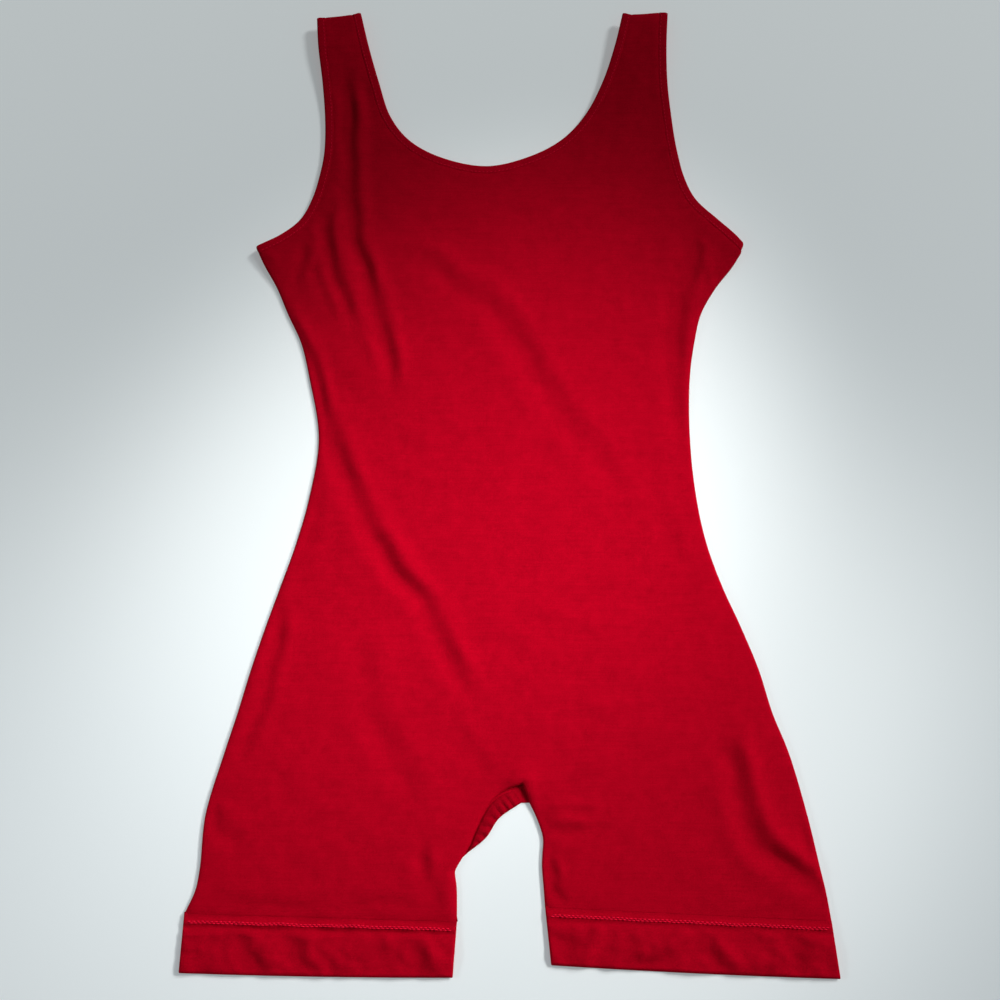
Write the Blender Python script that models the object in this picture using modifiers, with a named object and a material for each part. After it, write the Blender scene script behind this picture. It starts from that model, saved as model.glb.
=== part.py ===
"""Dance unitard with short legs, laid flat: two knit panels, gusset, edge casings and leg hems.

Sizes are in millimetres and become metres when a mesh is made. +X is the right of the laid garment as it is
seen, +Y runs from the legs to the neck, and z = 0 is the surface that the back panel rests on.
"""
import math

import bmesh
import bpy
import numpy as np
from mathutils import Vector
from mathutils.geometry import delaunay_2d_cdt
from mathutils.kdtree import KDTree

MM = 0.001

# Cloth and layers
WALL = 1.0                 # one layer of cotton knit
SEAM_GAP = 0.3             # between pieces that are sewn together
FRONT_EDGE_TOP = 3.3       # top of the front panel beside its edges
FRONT_SWELL = 0.9          # how much higher the front lies away from its edges
SWELL_REACH = 22.0         # distance from an edge over which it rises
FRONT_FLOOR = 2.65         # lowest top of the front in a trough, clear of the back
SIDE_ROLL = 1.5            # radius of the front's turn at a side seam
TURN_INSETS = (0.45, 1.5)  # rows of points across that turn

# Edge casings: cloth turned over elastic
CASING_WIDTH = 6.6
CASING_THICK = 1.7
CASING_BEVEL = 0.45
CASING_BENDS = 5           # faces round each turned end
MITRE_REACH = 12.0         # length over which a casing turns to follow the side seam at its underarm tip

# Leg hems: doubled cloth
HEM_WALL = 1.5
HEM_TOP = 3.8
HEM_ROUND = 1.2
HEM_CORNER = 0.3           # share of the round at its middle point
#   height, length, start of each soft ripple along a hem
HEM_RIPPLES = ((0.45, 13.0, 0.0), (0.35, 7.3, 1.0))
HEM_RIPPLE_BASE = 0.35     # ripples start from this height, and from this share at the stitched line

# What stands clear of the surface
SHOULDER_LIFT = 6.0
LIFT_START = 262.0         # height on the body where the straps begin to lift
TIP_LIFT = 3.0
TIP_REACH = 42.0

# Straps, neckline and armholes: one row for each level
#   level            y      left arm  left neck  right neck  right arm
BODICE = (
    ("shoulder",     358.5, -147.8,   -113.8,      90.0,     125.0),
    ("strap",        330.0, -146.2,   -107.1,      83.2,     123.4),
    ("strap foot",   300.0, -142.3,    -98.7,      73.3,     123.6),
    ("neck side",    272.0, -139.8,    -89.5,      58.9,     126.0),
    ("neck turn",    252.0, -139.2,    -74.7,      40.9,     128.2),
    ("neck low",     238.0, -139.9,    -51.1,      15.8,     130.5),
    ("armhole",      222.0, -142.6,     None,      None,     134.1),
    ("armhole turn", 204.0, -147.3,     None,      None,     141.8),
    ("armhole foot", 187.0, -155.4,     None,      None,     157.7),
    ("wing",         173.5, -170.0,     None,      None,     170.6),
    ("right tip",    165.5,   None,     None,      None,     177.0),
    ("left tip",     163.0, -188.2,     None,      None,      None),
)
SHOULDER = BODICE[0][1]
NECK_BASE = (-16.0, 230.4)
LEFT_SHOULDER_DROP = 4.5   # the left strap's outer corner lies this much lower

# Side outlines from the underarm tips to the legs, which run on to the hems' outer corners
#   level            y      left side  right side
SIDES = (
    ("right tip",     165.5,   None,    177.0),
    ("left tip",      163.0, -188.2,    176.9),
    ("wing",          149.0, -181.6,    168.9),
    ("wing root",     132.0, -172.0,    155.6),
    ("chest",         111.0, -163.0,    143.8),
    ("rib",            88.0, -152.4,    138.0),
    ("high waist",     60.0, -145.3,    133.8),
    ("waist",          14.0, -137.2,    132.5),
    ("high hip",      -31.0, -142.8,    135.8),
    ("upper hip",     -65.0, -151.2,    142.1),
    ("hip",           -95.0, -160.8,    151.8),
    ("high seat",    -125.0, -170.6,    164.2),
    ("seat",         -155.0, -179.6,    175.4),
    ("low seat",     -185.0, -187.6,    183.6),
    ("thigh",        -213.0, -195.7,    193.8),
    ("leg",          -255.0, -206.7,    204.4),
    ("low leg",      -290.0, -208.8,    211.3),
    ("above hem",    -305.0, -211.2,    214.3),
)

# Inner leg outlines from the crotch down the legs, which run on to the hems' inner corners
#   level            y      left leg   right leg
INSEAMS = (
    ("crotch",       -246.5,    9.0,     14.6),
    ("below crotch", -257.0,   -6.2,     19.6),
    ("gather",       -270.0,  -15.0,     23.7),
    ("gather foot",  -281.0,  -28.6,     23.2),
    ("inner leg",    -289.0,  -35.6,     22.9),
    ("low leg",      -304.0,  -34.6,     24.0),
)
FRONT_CROTCH = (10.2, -234.0)
# The front's edge over the gathered gusset, from the crotch down the left leg
GUSSET_EDGE = (
    FRONT_CROTCH,
    (-2.1, -238.3),
    (-12.4, -247.0),
    (-20.6, -261.6),
    (-26.6, -276.0),
    (-33.6, -287.5),
)
GUSSET_START = 3.0         # its gathers start this far from the crotch
GUSSET_END = 11.0          # and stop this far from the edge's foot
GUSSET_GATHERS = 9
GUSSET_TOP = 2.3
GUSSET_GATHER_HEIGHT = 0.9
GUSSET_CROWN = 0.3         # its crown lies this share of the width inside either side
GUSSET_RIM = 0.5           # thickness of its outer rim

# Leg hems: corners from the stitched line down to the folded edge
#   leg      outer top          inner top          outer bottom        inner bottom
HEMS = (
    ("left",  (-217.8, -320.1), (-34.4, -325.5), (-219.6, -358.4), (-37.0, -361.4)),
    ("right", (217.2, -325.1),  (24.8, -316.1),  (221.2, -362.2),  (28.6, -353.4)),
)
HEM_SAG = 0.8              # how far the middle of a folded edge hangs below its corners
MIDDLE = (0.8, -1.8)       # of the pattern's outline, which becomes the origin

# Creases of the front. Each route runs along the slope between a trough and the bank beside it. Side 1 puts
# the bank on the left hand of one who walks along it, -1 on the right
#   name, trough, bank, side, half width, points
CREASES = (
    ("strap", 2.4, 2.1, 1, 5.3, ((-123, 330), (-119, 286), (-117, 252), (-114, 202), (-111, 174),
                                 (-101, 141), (-91, 105), (-83, 74), (-81, 36))),
    ("wing fold", 1.3, 1.0, 1, 4.2, ((-137, 200), (-130, 155), (-120, 127), (-106, 99))),
    ("wing short", 1.1, 0.8, 1, 4.0, ((-148, 168), (-153, 149), (-158, 130))),
    ("chest", 1.3, 1.1, 1, 8.0, ((-97, 163), (-60, 155), (-31, 134), (-4, 115), (19, 80), (43, 36), (73, 2),
                                 (90, -14))),
    ("chest end", 0.4, 0.4, 1, 8.0, ((66, 6), (86, -22), (97, -51))),
    ("overhang", 1.9, 2.0, 1, 4.0, ((-166, 124), (-156, 102), (-145, 80), (-138, 60), (-127, 26))),
    ("hip diagonal", 1.3, 1.6, 1, 6.4, ((-138, 58), (-118, 1), (-99, -43), (-75, -83), (-54, -108),
                                        (-41, -139), (-28, -163), (-9, -182))),
    ("right edge", 1.7, 1.6, 1, 8.0, ((143, 184), (140, 145), (131, 115), (129, 45), (134, -8))),
    ("right wing", 0.8, 0.6, 1, 3.5, ((150, 153), (150, 128))),
    ("right leg", 1.3, 3.2, 1, 7.0, ((153, -190), (160, -225), (167, -254), (175, -272), (198, -291),
                                     (228, -314))),
    ("right leg foot", 1.4, 0.8, 1, 4.5, ((176, -270), (197, -290), (213, -303), (236, -322))),
    ("left hip", 1.3, 1.2, 1, 5.0, ((-154, -105), (-166, -172), (-184, -222))),
    ("left outer", 1.1, 0.8, 1, 6.0, ((-205, -250), (-190, -262), (-176, -272))),
    ("left low", 0.8, 0.6, 1, 7.0, ((-155, -275), (-133, -288), (-106, -292))),
    ("left thigh", 0.9, 0.8, 1, 9.0, ((-97, -115), (-94, -171), (-76, -203), (-54, -250))),
    ("left hem", 0.7, 0.5, 1, 5.0, ((-206, -308), (-147, -312), (-70, -308))),
    ("inner left", 1.0, 0.8, 1, 5.0, ((-58, -276), (-51, -298), (-47, -318))),
    ("crotch pull", 1.3, 1.4, 1, 4.5, ((27, -261), (38, -262), (52, -262), (68, -256))),
    ("inner right", 0.8, 0.7, 1, 4.5, ((27, -285), (33, -302), (44, -311))),
)
CREASE_FADE = 0.22         # share of a crease's length over which each end fades
BANK_PLACE = 1.9           # how far the bank lies from the trough, in half widths
SLOPE_PLACE = 0.95         # how far the route lies from the trough, in half widths
FAR_BANK = 0.25            # height of the lower bank on the trough's other side, as a share of the bank
CREASE_INSET = 5.0         # creases reach their height this far inside the edges
FLOOR_SHARPNESS = 4.0      # how fast a trough levels out above the lowest height, per millimetre

OUTLINE_STEP = 9.0
TURN_CLEARANCE = 0.4
CREASE_CLEARANCE = 4.0
LATTICE_FRONT = 17.0
LATTICE_BACK = 30.0
CREASE_STEP = 13.0
CREASE_RAILS = (-2.85, -1.9, -0.95, 0.0, 0.95, 1.9)   # rows of points beside a crease, in half widths
LATTICE_CLEARANCE = 0.62   # share of the spacing that a lattice point keeps from all others
HEM_ROWS = 4
HEM_COLUMNS = 15
ARM_STEP = 6.0
NECK_STEP = 11.0
INSEAM_STEP = 4.5

RED = (0.365, 0.0014, 0.0100, 1.0)


def clear_scene():
    for old in list(bpy.data.objects):
        bpy.data.objects.remove(old, do_unlink=True)


def smooth_line(points, step):
    """Points about one step apart on a smooth curve through the given points (centripetal Catmull-Rom)."""
    given = [np.array(p, float) for p in points]
    given = [2 * given[0] - given[1]] + given + [2 * given[-1] - given[-2]]
    fine = []
    for a, b, c, d in zip(given, given[1:], given[2:], given[3:]):
        knots = np.cumsum([0.0] + [math.sqrt(np.linalg.norm(q - p)) for p, q in ((a, b), (b, c), (c, d))])
        for t in np.linspace(knots[1], knots[2], 24, endpoint=False):
            ab = a + (b - a) * (t - knots[0]) / (knots[1] - knots[0])
            bc = b + (c - b) * (t - knots[1]) / (knots[2] - knots[1])
            cd = c + (d - c) * (t - knots[2]) / (knots[3] - knots[2])
            abc = ab + (bc - ab) * (t - knots[0]) / (knots[2] - knots[0])
            bcd = bc + (cd - bc) * (t - knots[1]) / (knots[3] - knots[1])
            fine.append(abc + (bcd - abc) * (t - knots[1]) / (knots[2] - knots[1]))
    fine.append(given[-2])
    return resample(np.array(fine), step)


def resample(line, step):
    return trim(line, 0.0, 0.0, step)


def trim(line, start, end, step):
    """The line without its first and last stretch, with points about one step apart."""
    along = np.concatenate([[0.0], np.cumsum(np.linalg.norm(np.diff(line, axis=0), axis=1))])
    places = np.linspace(start, along[-1] - end, max(2, round((along[-1] - start - end) / step) + 1))
    return np.stack([np.interp(places, along, line[:, 0]), np.interp(places, along, line[:, 1])], axis=1)


def left_hand(line):
    """Unit vectors to the left hand of one who walks along the line."""
    ahead = np.gradient(line, axis=0)
    ahead /= np.linalg.norm(ahead, axis=1)[:, None]
    return np.stack([-ahead[:, 1], ahead[:, 0]], axis=1)


def place_on(line, points):
    """Signed distance of each point from a line, left hand positive, and how far along the line, 0 to 1."""
    best = np.full(len(points), 1e9)
    signed = np.zeros(len(points))
    fraction = np.zeros(len(points))
    for number, (a, b) in enumerate(zip(line, line[1:])):
        ab = b - a
        t = np.clip((points - a) @ ab / (ab @ ab), 0.0, 1.0)
        away = points - (a + t[:, None] * ab)
        distance = np.linalg.norm(away, axis=1)
        nearer = distance < best
        side = np.where(ab[0] * away[:, 1] - ab[1] * away[:, 0] < 0, -1.0, 1.0)
        signed = np.where(nearer, side * distance, signed)
        fraction = np.where(nearer, (number + t) / (len(line) - 1), fraction)
        best = np.where(nearer, distance, best)
    return signed, fraction


def ease(value):
    value = np.clip(value, 0.0, 1.0)
    return value * value * (3.0 - 2.0 * value)


def column(table, number):
    """Points down one outline, from a table whose second column is the height y, without its empty places."""
    return [(row[number], row[1]) for row in table if row[number] is not None]


LEFT_ARM = column(BODICE, 2)
LEFT_ARM[0] = (LEFT_ARM[0][0], SHOULDER - LEFT_SHOULDER_DROP)
RIGHT_ARM = column(BODICE, 5)
NECK = column(BODICE, 3) + [NECK_BASE] + column(BODICE, 4)[::-1]

left_arm = smooth_line(LEFT_ARM, 2.0)
right_arm = smooth_line(RIGHT_ARM, 2.0)
neck = smooth_line(NECK, 2.0)
left_side = smooth_line(column(SIDES, 2) + [HEMS[0][1]], 2.0)
right_side = smooth_line(column(SIDES, 3) + [HEMS[1][1]], 2.0)
left_inseam = smooth_line(column(INSEAMS, 2) + [HEMS[0][2]], 2.0)
right_inseam = smooth_line(column(INSEAMS, 3) + [HEMS[1][2]], 2.0)
gusset_edge = smooth_line(GUSSET_EDGE, 2.0)
crease_lines = [smooth_line(row[5], 6.0) for row in CREASES]


def inwards(line, inward, side=None):
    """Directions from a finished edge into the garment, turned to follow the side seam at an underarm tip."""
    across = left_hand(line) * inward
    if side is None:
        return across
    down = side[4] - side[0]
    down /= np.linalg.norm(down)
    share = ease(1.0 - np.linalg.norm(line - side[0], axis=1) / MITRE_REACH)[:, None]
    return across * (1.0 - share) + down * share


# Seam lines of the panels, inside the casings
INSIDE = CASING_WIDTH + SEAM_GAP
TIP_EASE = 1.2             # how much further down the side a panel starts, clear of the casing's fold
arm_seam_left = left_arm + inwards(left_arm, 1, left_side) * INSIDE
arm_seam_right = right_arm + inwards(right_arm, -1, right_side) * INSIDE
neck_seam = neck + inwards(neck, -1) * INSIDE


def rest_height(points):
    """Height of the garment's underside: on the surface, but for the straps and the underarm tips."""
    lift = SHOULDER_LIFT * ease((points[:, 1] - LIFT_START) / (SHOULDER - LIFT_START))
    for tip in (left_arm[-1], right_arm[-1]):
        away = np.linalg.norm(points - tip, axis=1)
        lift = lift + TIP_LIFT * ease(1.0 - away / TIP_REACH)
    return lift


def crease_height(points):
    total = np.zeros(len(points))
    for (name, trough, bank, side, half_width, route), line in zip(CREASES, crease_lines):
        signed, fraction = place_on(line, points)
        ends = ease(fraction / CREASE_FADE) * ease((1.0 - fraction) / CREASE_FADE)
        place = signed * side / half_width + SLOPE_PLACE
        banks = np.exp(-((place - BANK_PLACE) ** 2)) + FAR_BANK * np.exp(-((place + BANK_PLACE) ** 2))
        total += ends * (bank * banks - trough * np.exp(-(place ** 2)))
    return total


def front_height(points, outline, rolled):
    """Top of the front panel: swollen between its edges, creased, and turned down at the sewn sides."""
    edge, _ = place_on(outline, points)
    top = FRONT_EDGE_TOP + FRONT_SWELL * (1.0 - np.exp(-np.abs(edge) / SWELL_REACH))
    top += crease_height(points) * ease(np.abs(edge) / CREASE_INSET)
    top = FRONT_FLOOR + np.logaddexp(0.0, (top - FRONT_FLOOR) * FLOOR_SHARPNESS) / FLOOR_SHARPNESS
    nearest = np.min([np.abs(place_on(line, points)[0]) for line in rolled], axis=0)
    short = SIDE_ROLL - np.minimum(nearest, SIDE_ROLL)
    return rest_height(points) + top - SIDE_ROLL + np.sqrt(SIDE_ROLL ** 2 - short ** 2)


def inside(outline, points):
    """True where a point lies in the outline."""
    found = np.zeros(len(points), bool)
    for a, b in zip(outline, np.roll(outline, -1, axis=0)):
        crosses = (a[1] > points[:, 1]) != (b[1] > points[:, 1])
        rise = b[1] - a[1] if b[1] != a[1] else 1e-12
        found ^= crosses & (points[:, 0] < (b[0] - a[0]) * (points[:, 1] - a[1]) / rise + a[0])
    return found


def join_outline(stretches):
    """One closed outline from stretches laid end to end, without the doubled end points."""
    outline = []
    for stretch in stretches:
        for point in stretch:
            if not outline or np.linalg.norm(point - outline[-1]) > 0.2:
                outline.append(point)
    if np.linalg.norm(outline[0] - outline[-1]) <= 0.2:
        outline.pop()
    return np.array(outline)


def panel_outline(left_inner, right_inner):
    """The cut edge of a panel, anticlockwise, with its hem lines 0.3 mm above the hems."""
    left_outer = trim(left_side, INSIDE + TIP_EASE, SEAM_GAP, OUTLINE_STEP)
    right_outer = trim(right_side, INSIDE + TIP_EASE, SEAM_GAP, OUTLINE_STEP)
    left_inner = trim(left_inner, 0.0, SEAM_GAP, INSEAM_STEP)
    right_inner = trim(right_inner, 0.0, SEAM_GAP, INSEAM_STEP)
    return join_outline([
        right_outer[::-1],
        resample(arm_seam_right[::-1], ARM_STEP),
        resample(np.array([arm_seam_right[0], neck_seam[-1]]), OUTLINE_STEP),
        resample(neck_seam[::-1], OUTLINE_STEP),
        resample(np.array([neck_seam[0], arm_seam_left[0]]), OUTLINE_STEP),
        resample(arm_seam_left, ARM_STEP),
        left_outer,
        resample(np.array([left_outer[-1], left_inner[-1]]), OUTLINE_STEP),
        left_inner[::-1],
        right_inner,
        resample(np.array([right_inner[-1], right_outer[-1]]), OUTLINE_STEP),
    ])


def crease_points():
    """Rows of points along and beside each crease, so that few faces carry its form."""
    rows = []
    for crease, line in zip(CREASES, crease_lines):
        route = resample(line, CREASE_STEP)
        for rail in CREASE_RAILS:
            rows.append(route + left_hand(route) * rail * crease[3] * crease[4])
    return np.concatenate(rows)


def lattice(outline, spacing):
    low, high = outline.min(axis=0), outline.max(axis=0)
    grid = np.meshgrid(np.arange(low[0], high[0], spacing), np.arange(low[1], high[1], spacing))
    return np.stack([axis.ravel() for axis in grid], axis=1)


def spread(fixed, extra, clearance):
    """The extra points that lie at least the clearance from the fixed ones and from each other."""
    kept = [Vector((*point, 0.0)) for point in fixed]
    tree = KDTree(len(fixed) + len(extra))
    chosen = []
    for number, point in enumerate(kept):
        tree.insert(point, number)
    tree.balance()
    for point in extra:
        spot = Vector((*point, 0.0))
        far = tree.find(spot)[2] >= clearance
        if far and all((spot - other).length >= clearance for other in chosen):
            chosen.append(spot)
    return np.array([(spot.x, spot.y) for spot in chosen])


def panel_surface(outline, groups):
    """Triangles over an outline and the inner points, which come in groups with their own clearance."""
    points = outline
    for extra, clearance in groups:
        extra = extra[inside(outline, extra)]
        points = np.concatenate([points, spread(points, extra, clearance)])
    flat = [Vector(point) for point in points]
    border = [list(range(len(outline)))]
    verts, _, faces, _, _, _ = delaunay_2d_cdt(flat, [], border, 1, 1e-6)
    return np.array([tuple(v) for v in verts]), faces


def material(name, roughness):
    finish = bpy.data.materials.new(name)
    finish.use_nodes = True
    shader = finish.node_tree.nodes["Principled BSDF"]
    shader.inputs["Base Color"].default_value = RED
    shader.inputs["Roughness"].default_value = roughness
    finish.diffuse_color = RED
    return finish


def add_object(name, bm, finish, wall=None):
    """One named piece from a bmesh in millimetres. A wall makes a shell, thickened under its outer face."""
    bmesh.ops.translate(bm, vec=(-MIDDLE[0], -MIDDLE[1], 0.0), verts=bm.verts)
    bmesh.ops.scale(bm, vec=(MM, MM, MM), verts=bm.verts)
    mesh = bpy.data.meshes.new(name)
    bm.to_mesh(mesh)
    bm.free()
    mesh.shade_smooth()
    piece = bpy.data.objects.new(name, mesh)
    piece.data.materials.append(finish)
    garment.objects.link(piece)
    if wall:
        shell = piece.modifiers.new("Cloth wall", "SOLIDIFY")
        shell.thickness = wall * MM
        shell.offset = -1.0
    return piece


def point_up(bm):
    """Turns the faces of an open sheet the same way, so that they look up."""
    bmesh.ops.recalc_face_normals(bm, faces=bm.faces)
    if sum(face.normal.z * face.calc_area() for face in bm.faces) < 0:
        bmesh.ops.reverse_faces(bm, faces=bm.faces)


def sheet_bmesh(verts, heights, faces):
    bm = bmesh.new()
    made = [bm.verts.new((x, y, z)) for (x, y), z in zip(verts, heights)]
    for face in faces:
        bm.faces.new([made[i] for i in face])
    bm.normal_update()
    point_up(bm)
    return bm


def drop_skirt(bm, rolled):
    """Carries the turned edge of the front straight down to just above the back panel."""
    points = np.array([tuple(v.co.xy) for v in bm.verts])
    near = np.min([np.abs(place_on(line, points)[0]) for line in rolled], axis=0)
    on_roll = {v for v, distance in zip(bm.verts, near) if distance < 0.1}
    rim = [e for e in bm.edges if e.is_boundary and all(v in on_roll for v in e.verts)]
    lowered = bmesh.ops.extrude_edge_only(bm, edges=rim)["geom"]
    for vert in (g for g in lowered if isinstance(g, bmesh.types.BMVert)):
        ground = rest_height(np.array([tuple(vert.co.xy)]))[0]
        vert.co.z = ground + WALL + SEAM_GAP
    point_up(bm)


def loft(rings, closed):
    """Faces between rings of points, joined end to end when closed, and otherwise capped."""
    bm = bmesh.new()
    loops = [[bm.verts.new(point) for point in ring] for ring in rings]
    pairs = list(zip(loops, loops[1:]))
    if closed:
        pairs.append((loops[-1], loops[0]))
    for near, far in pairs:
        for i in range(len(near)):
            j = (i + 1) % len(near)
            bm.faces.new((near[i], near[j], far[j], far[i]))
    if not closed:
        bm.faces.new(loops[0][::-1])
        bm.faces.new(loops[-1])
    bmesh.ops.recalc_face_normals(bm, faces=bm.faces)
    return bm


def build_front(finish):
    inner_left = np.concatenate([gusset_edge, left_inseam[left_inseam[:, 1] < GUSSET_EDGE[-1][1] - 3.0]])
    inner_right = np.concatenate([[FRONT_CROTCH], right_inseam[1:]])
    outline = panel_outline(inner_left, inner_right)
    shoulders = [np.array([arm_seam_left[0], neck_seam[0]]), np.array([arm_seam_right[0], neck_seam[-1]])]
    rolled = [left_side, right_side, inner_left, inner_right] + shoulders
    turn = []
    for line in rolled:
        for inset in TURN_INSETS:
            route = resample(line, OUTLINE_STEP)
            turn += [route + left_hand(route) * inset, route - left_hand(route) * inset]
    turn = np.concatenate(turn)
    turn = turn[np.min([np.abs(place_on(line, turn)[0]) for line in rolled], axis=0) > 0.8 * TURN_INSETS[0]]
    filling = (lattice(outline, LATTICE_FRONT), LATTICE_CLEARANCE * LATTICE_FRONT)
    groups = [(turn, TURN_CLEARANCE), (crease_points(), CREASE_CLEARANCE), filling]
    verts, faces = panel_surface(outline, groups)
    bm = sheet_bmesh(verts, front_height(verts, outline, rolled), faces)
    drop_skirt(bm, rolled)
    add_object("front", bm, finish, WALL)


def build_back(finish):
    outline = panel_outline(left_inseam, right_inseam)
    filling = (lattice(outline, LATTICE_BACK), LATTICE_CLEARANCE * LATTICE_BACK)
    verts, faces = panel_surface(outline, [filling])
    bm = sheet_bmesh(verts, rest_height(verts) + WALL, faces)
    add_object("back", bm, finish, WALL)


def build_casing(name, line, inward, step, finish, side=None):
    """Ring of casing: along the front, over the fold at one end, along the back and over the fold again."""
    turn = (SEAM_GAP + CASING_THICK) / 2
    route = trim(line, turn + CASING_THICK / 2, turn + CASING_THICK / 2, step)
    across = inwards(route, inward, side)
    ground = rest_height(route) + CASING_THICK / 2 + turn
    bends = [math.pi * k / CASING_BENDS for k in range(1, CASING_BENDS)]
    stations = [(*p, z + turn, a, (0.0, 0.0, 1.0)) for p, z, a in zip(route, ground, across)]
    for end, before, order in ((-1, -2, 1), (0, 1, -1)):
        ahead = route[end] - route[before]
        ahead = ahead / np.linalg.norm(ahead)
        for bend in bends:
            lean = math.cos(bend) * order
            x, y = route[end] + ahead * turn * math.sin(bend)
            out = (ahead[0] * math.sin(bend), ahead[1] * math.sin(bend), lean)
            stations.append((x, y, ground[end] + turn * lean, across[end], out))
        if end == -1:
            back = zip(route[::-1], ground[::-1], across[::-1])
            stations += [(*p, z - turn, a, (0.0, 0.0, -1.0)) for p, z, a in back]
    half, bevel, width = CASING_THICK / 2, CASING_BEVEL, CASING_WIDTH
    section = ((bevel, -half), (width - bevel, -half), (width, bevel - half), (width, half - bevel),
               (width - bevel, half), (bevel, half), (0.0, half - bevel), (0.0, bevel - half))
    rings = []
    for x, y, z, (ax, ay), (ox, oy, oz) in stations:
        rings.append([(x + u * ax + v * ox, y + u * ay + v * oy, z + v * oz) for u, v in section])
    add_object(name, loft(rings, closed=True), finish)


def build_gusset(finish):
    """Gathered strip of the gusset, between the front's edge and the left leg's outline."""
    count = GUSSET_GATHERS * 4
    upper = trim(gusset_edge, GUSSET_START, GUSSET_END, 0.5)
    lower = left_inseam
    rings = []
    for k in range(count + 1):
        a = upper[round(k / count * (len(upper) - 1))]
        nearest = lower[np.argmin(np.linalg.norm(lower - a, axis=1))]
        width = np.linalg.norm(nearest - a)
        across = (nearest - a) / width
        start, end = a + across * 2 * SEAM_GAP, nearest - across * SEAM_GAP
        gather = abs(math.sin(math.pi * k / 4))
        low = WALL + SEAM_GAP
        high = GUSSET_TOP + GUSSET_GATHER_HEIGHT * gather
        inner, outer = start + (end - start) * GUSSET_CROWN, end + (start - end) * GUSSET_CROWN
        ring = [(*start, low), (*end, low), (*end, low + GUSSET_RIM)]
        ring += [(*outer, high), (*inner, high), (*start, GUSSET_TOP)]
        rings.append(ring)
    add_object("gusset", loft(rings, closed=False), finish)


def hem_ripple(x, depth):
    """Soft unevenness of a hem's upper layer, least at its stitched line."""
    wave = sum(height * math.sin(x / length + start) for height, length, start in HEM_RIPPLES)
    return max(0.0, HEM_RIPPLE_BASE + wave) * (HEM_RIPPLE_BASE + (1.0 - HEM_RIPPLE_BASE) * depth)


def build_hem(leg, corners, finish):
    """Flattened ring of doubled cloth at the foot of a leg."""
    outer_top, inner_top, outer_bottom, inner_bottom = (np.array(c) for c in corners)
    corner = HEM_CORNER * HEM_ROUND
    turn = ((HEM_ROUND, 0.0), (corner, corner), (0.0, HEM_ROUND),
            (0.0, HEM_TOP - HEM_ROUND), (corner, HEM_TOP - corner), (HEM_ROUND, HEM_TOP))
    bm = bmesh.new()
    loops = []
    for row in range(HEM_ROWS + 1):
        depth = row / HEM_ROWS
        start = outer_top + (outer_bottom - outer_top) * depth
        end = inner_top + (inner_bottom - inner_top) * depth
        width = np.linalg.norm(end - start)
        across = (end - start) / width
        places = [(inset, z) for inset, z in turn]
        for k in range(1, HEM_COLUMNS):
            inset = HEM_ROUND + (width - 2 * HEM_ROUND) * k / HEM_COLUMNS
            x = (start + across * inset)[0]
            places.append((inset, HEM_TOP + hem_ripple(x, depth)))
        places += [(width - inset, z) for inset, z in turn[::-1]]
        for k in range(HEM_COLUMNS // 3 - 1, 0, -1):
            places.append((width * k * 3 / HEM_COLUMNS, 0.0))
        loop = []
        for inset, z in places:
            x, y = start + across * inset
            sag = 4.0 * HEM_SAG * depth * inset / width * (1.0 - inset / width)
            loop.append(bm.verts.new((x, y - sag, z)))
        loops.append(loop)
    for upper, lower in zip(loops, loops[1:]):
        for i in range(len(upper)):
            j = (i + 1) % len(upper)
            bm.faces.new((upper[i], upper[j], lower[j], lower[i]))
    bm.normal_update()
    top = max(bm.faces, key=lambda face: face.calc_center_median().z)
    if top.normal.z < 0:
        bmesh.ops.reverse_faces(bm, faces=bm.faces)
    add_object(f"hem_{leg}", bm, finish, HEM_WALL)


clear_scene()
garment = bpy.data.collections.new("dance_unitard")
bpy.context.scene.collection.children.link(garment)
knit = material("red knit", 0.85)
turned = material("red turned edge", 0.8)
build_front(knit)
build_back(knit)
build_gusset(knit)
build_casing("neck_edge", neck, -1, NECK_STEP, turned)
build_casing("arm_edge_left", left_arm, 1, ARM_STEP, turned, left_side)
build_casing("arm_edge_right", right_arm, -1, ARM_STEP, turned, right_side)
for leg_name, *leg_corners in HEMS:
    build_hem(leg_name, leg_corners, turned)
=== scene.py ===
# %% [markdown]
# # A dance unitard, laid flat
#
# A unitard is one garment for the whole body. This one has a scoop neck, tank straps and short legs, cut
# from red cotton jersey with a little elastane. It lies on a table, so that it is only a few millimetres
# high, and everything that the eye reads as cloth is in its outline, its edges, its soft creases and its
# knit.
#
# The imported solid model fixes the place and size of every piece. This script dresses it: each solid is
# replaced by a finer mesh of the same form, and the lesson goes through them one by one.

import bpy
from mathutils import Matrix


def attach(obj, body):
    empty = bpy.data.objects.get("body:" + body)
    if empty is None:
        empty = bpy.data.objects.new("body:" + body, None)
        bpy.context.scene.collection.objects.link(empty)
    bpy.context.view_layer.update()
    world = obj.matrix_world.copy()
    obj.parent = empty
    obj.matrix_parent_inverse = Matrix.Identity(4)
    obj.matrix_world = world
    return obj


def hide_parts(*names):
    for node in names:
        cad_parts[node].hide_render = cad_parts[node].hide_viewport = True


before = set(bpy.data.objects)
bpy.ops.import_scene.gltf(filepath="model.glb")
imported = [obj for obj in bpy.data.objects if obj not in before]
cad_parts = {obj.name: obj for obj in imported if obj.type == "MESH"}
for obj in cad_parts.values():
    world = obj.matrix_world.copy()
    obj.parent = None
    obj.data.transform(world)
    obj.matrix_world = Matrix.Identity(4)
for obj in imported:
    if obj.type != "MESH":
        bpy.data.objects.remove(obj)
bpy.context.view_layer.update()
print("solids:", sorted(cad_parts))

# %% Tools of this lesson
import math

import bmesh
import bpy
import numpy as np
from mathutils import Vector, noise
from mathutils.geometry import delaunay_2d_cdt

MM = 0.001
scene = bpy.context.scene
print("sizes below are in millimetres and become metres when a mesh is made")

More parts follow.
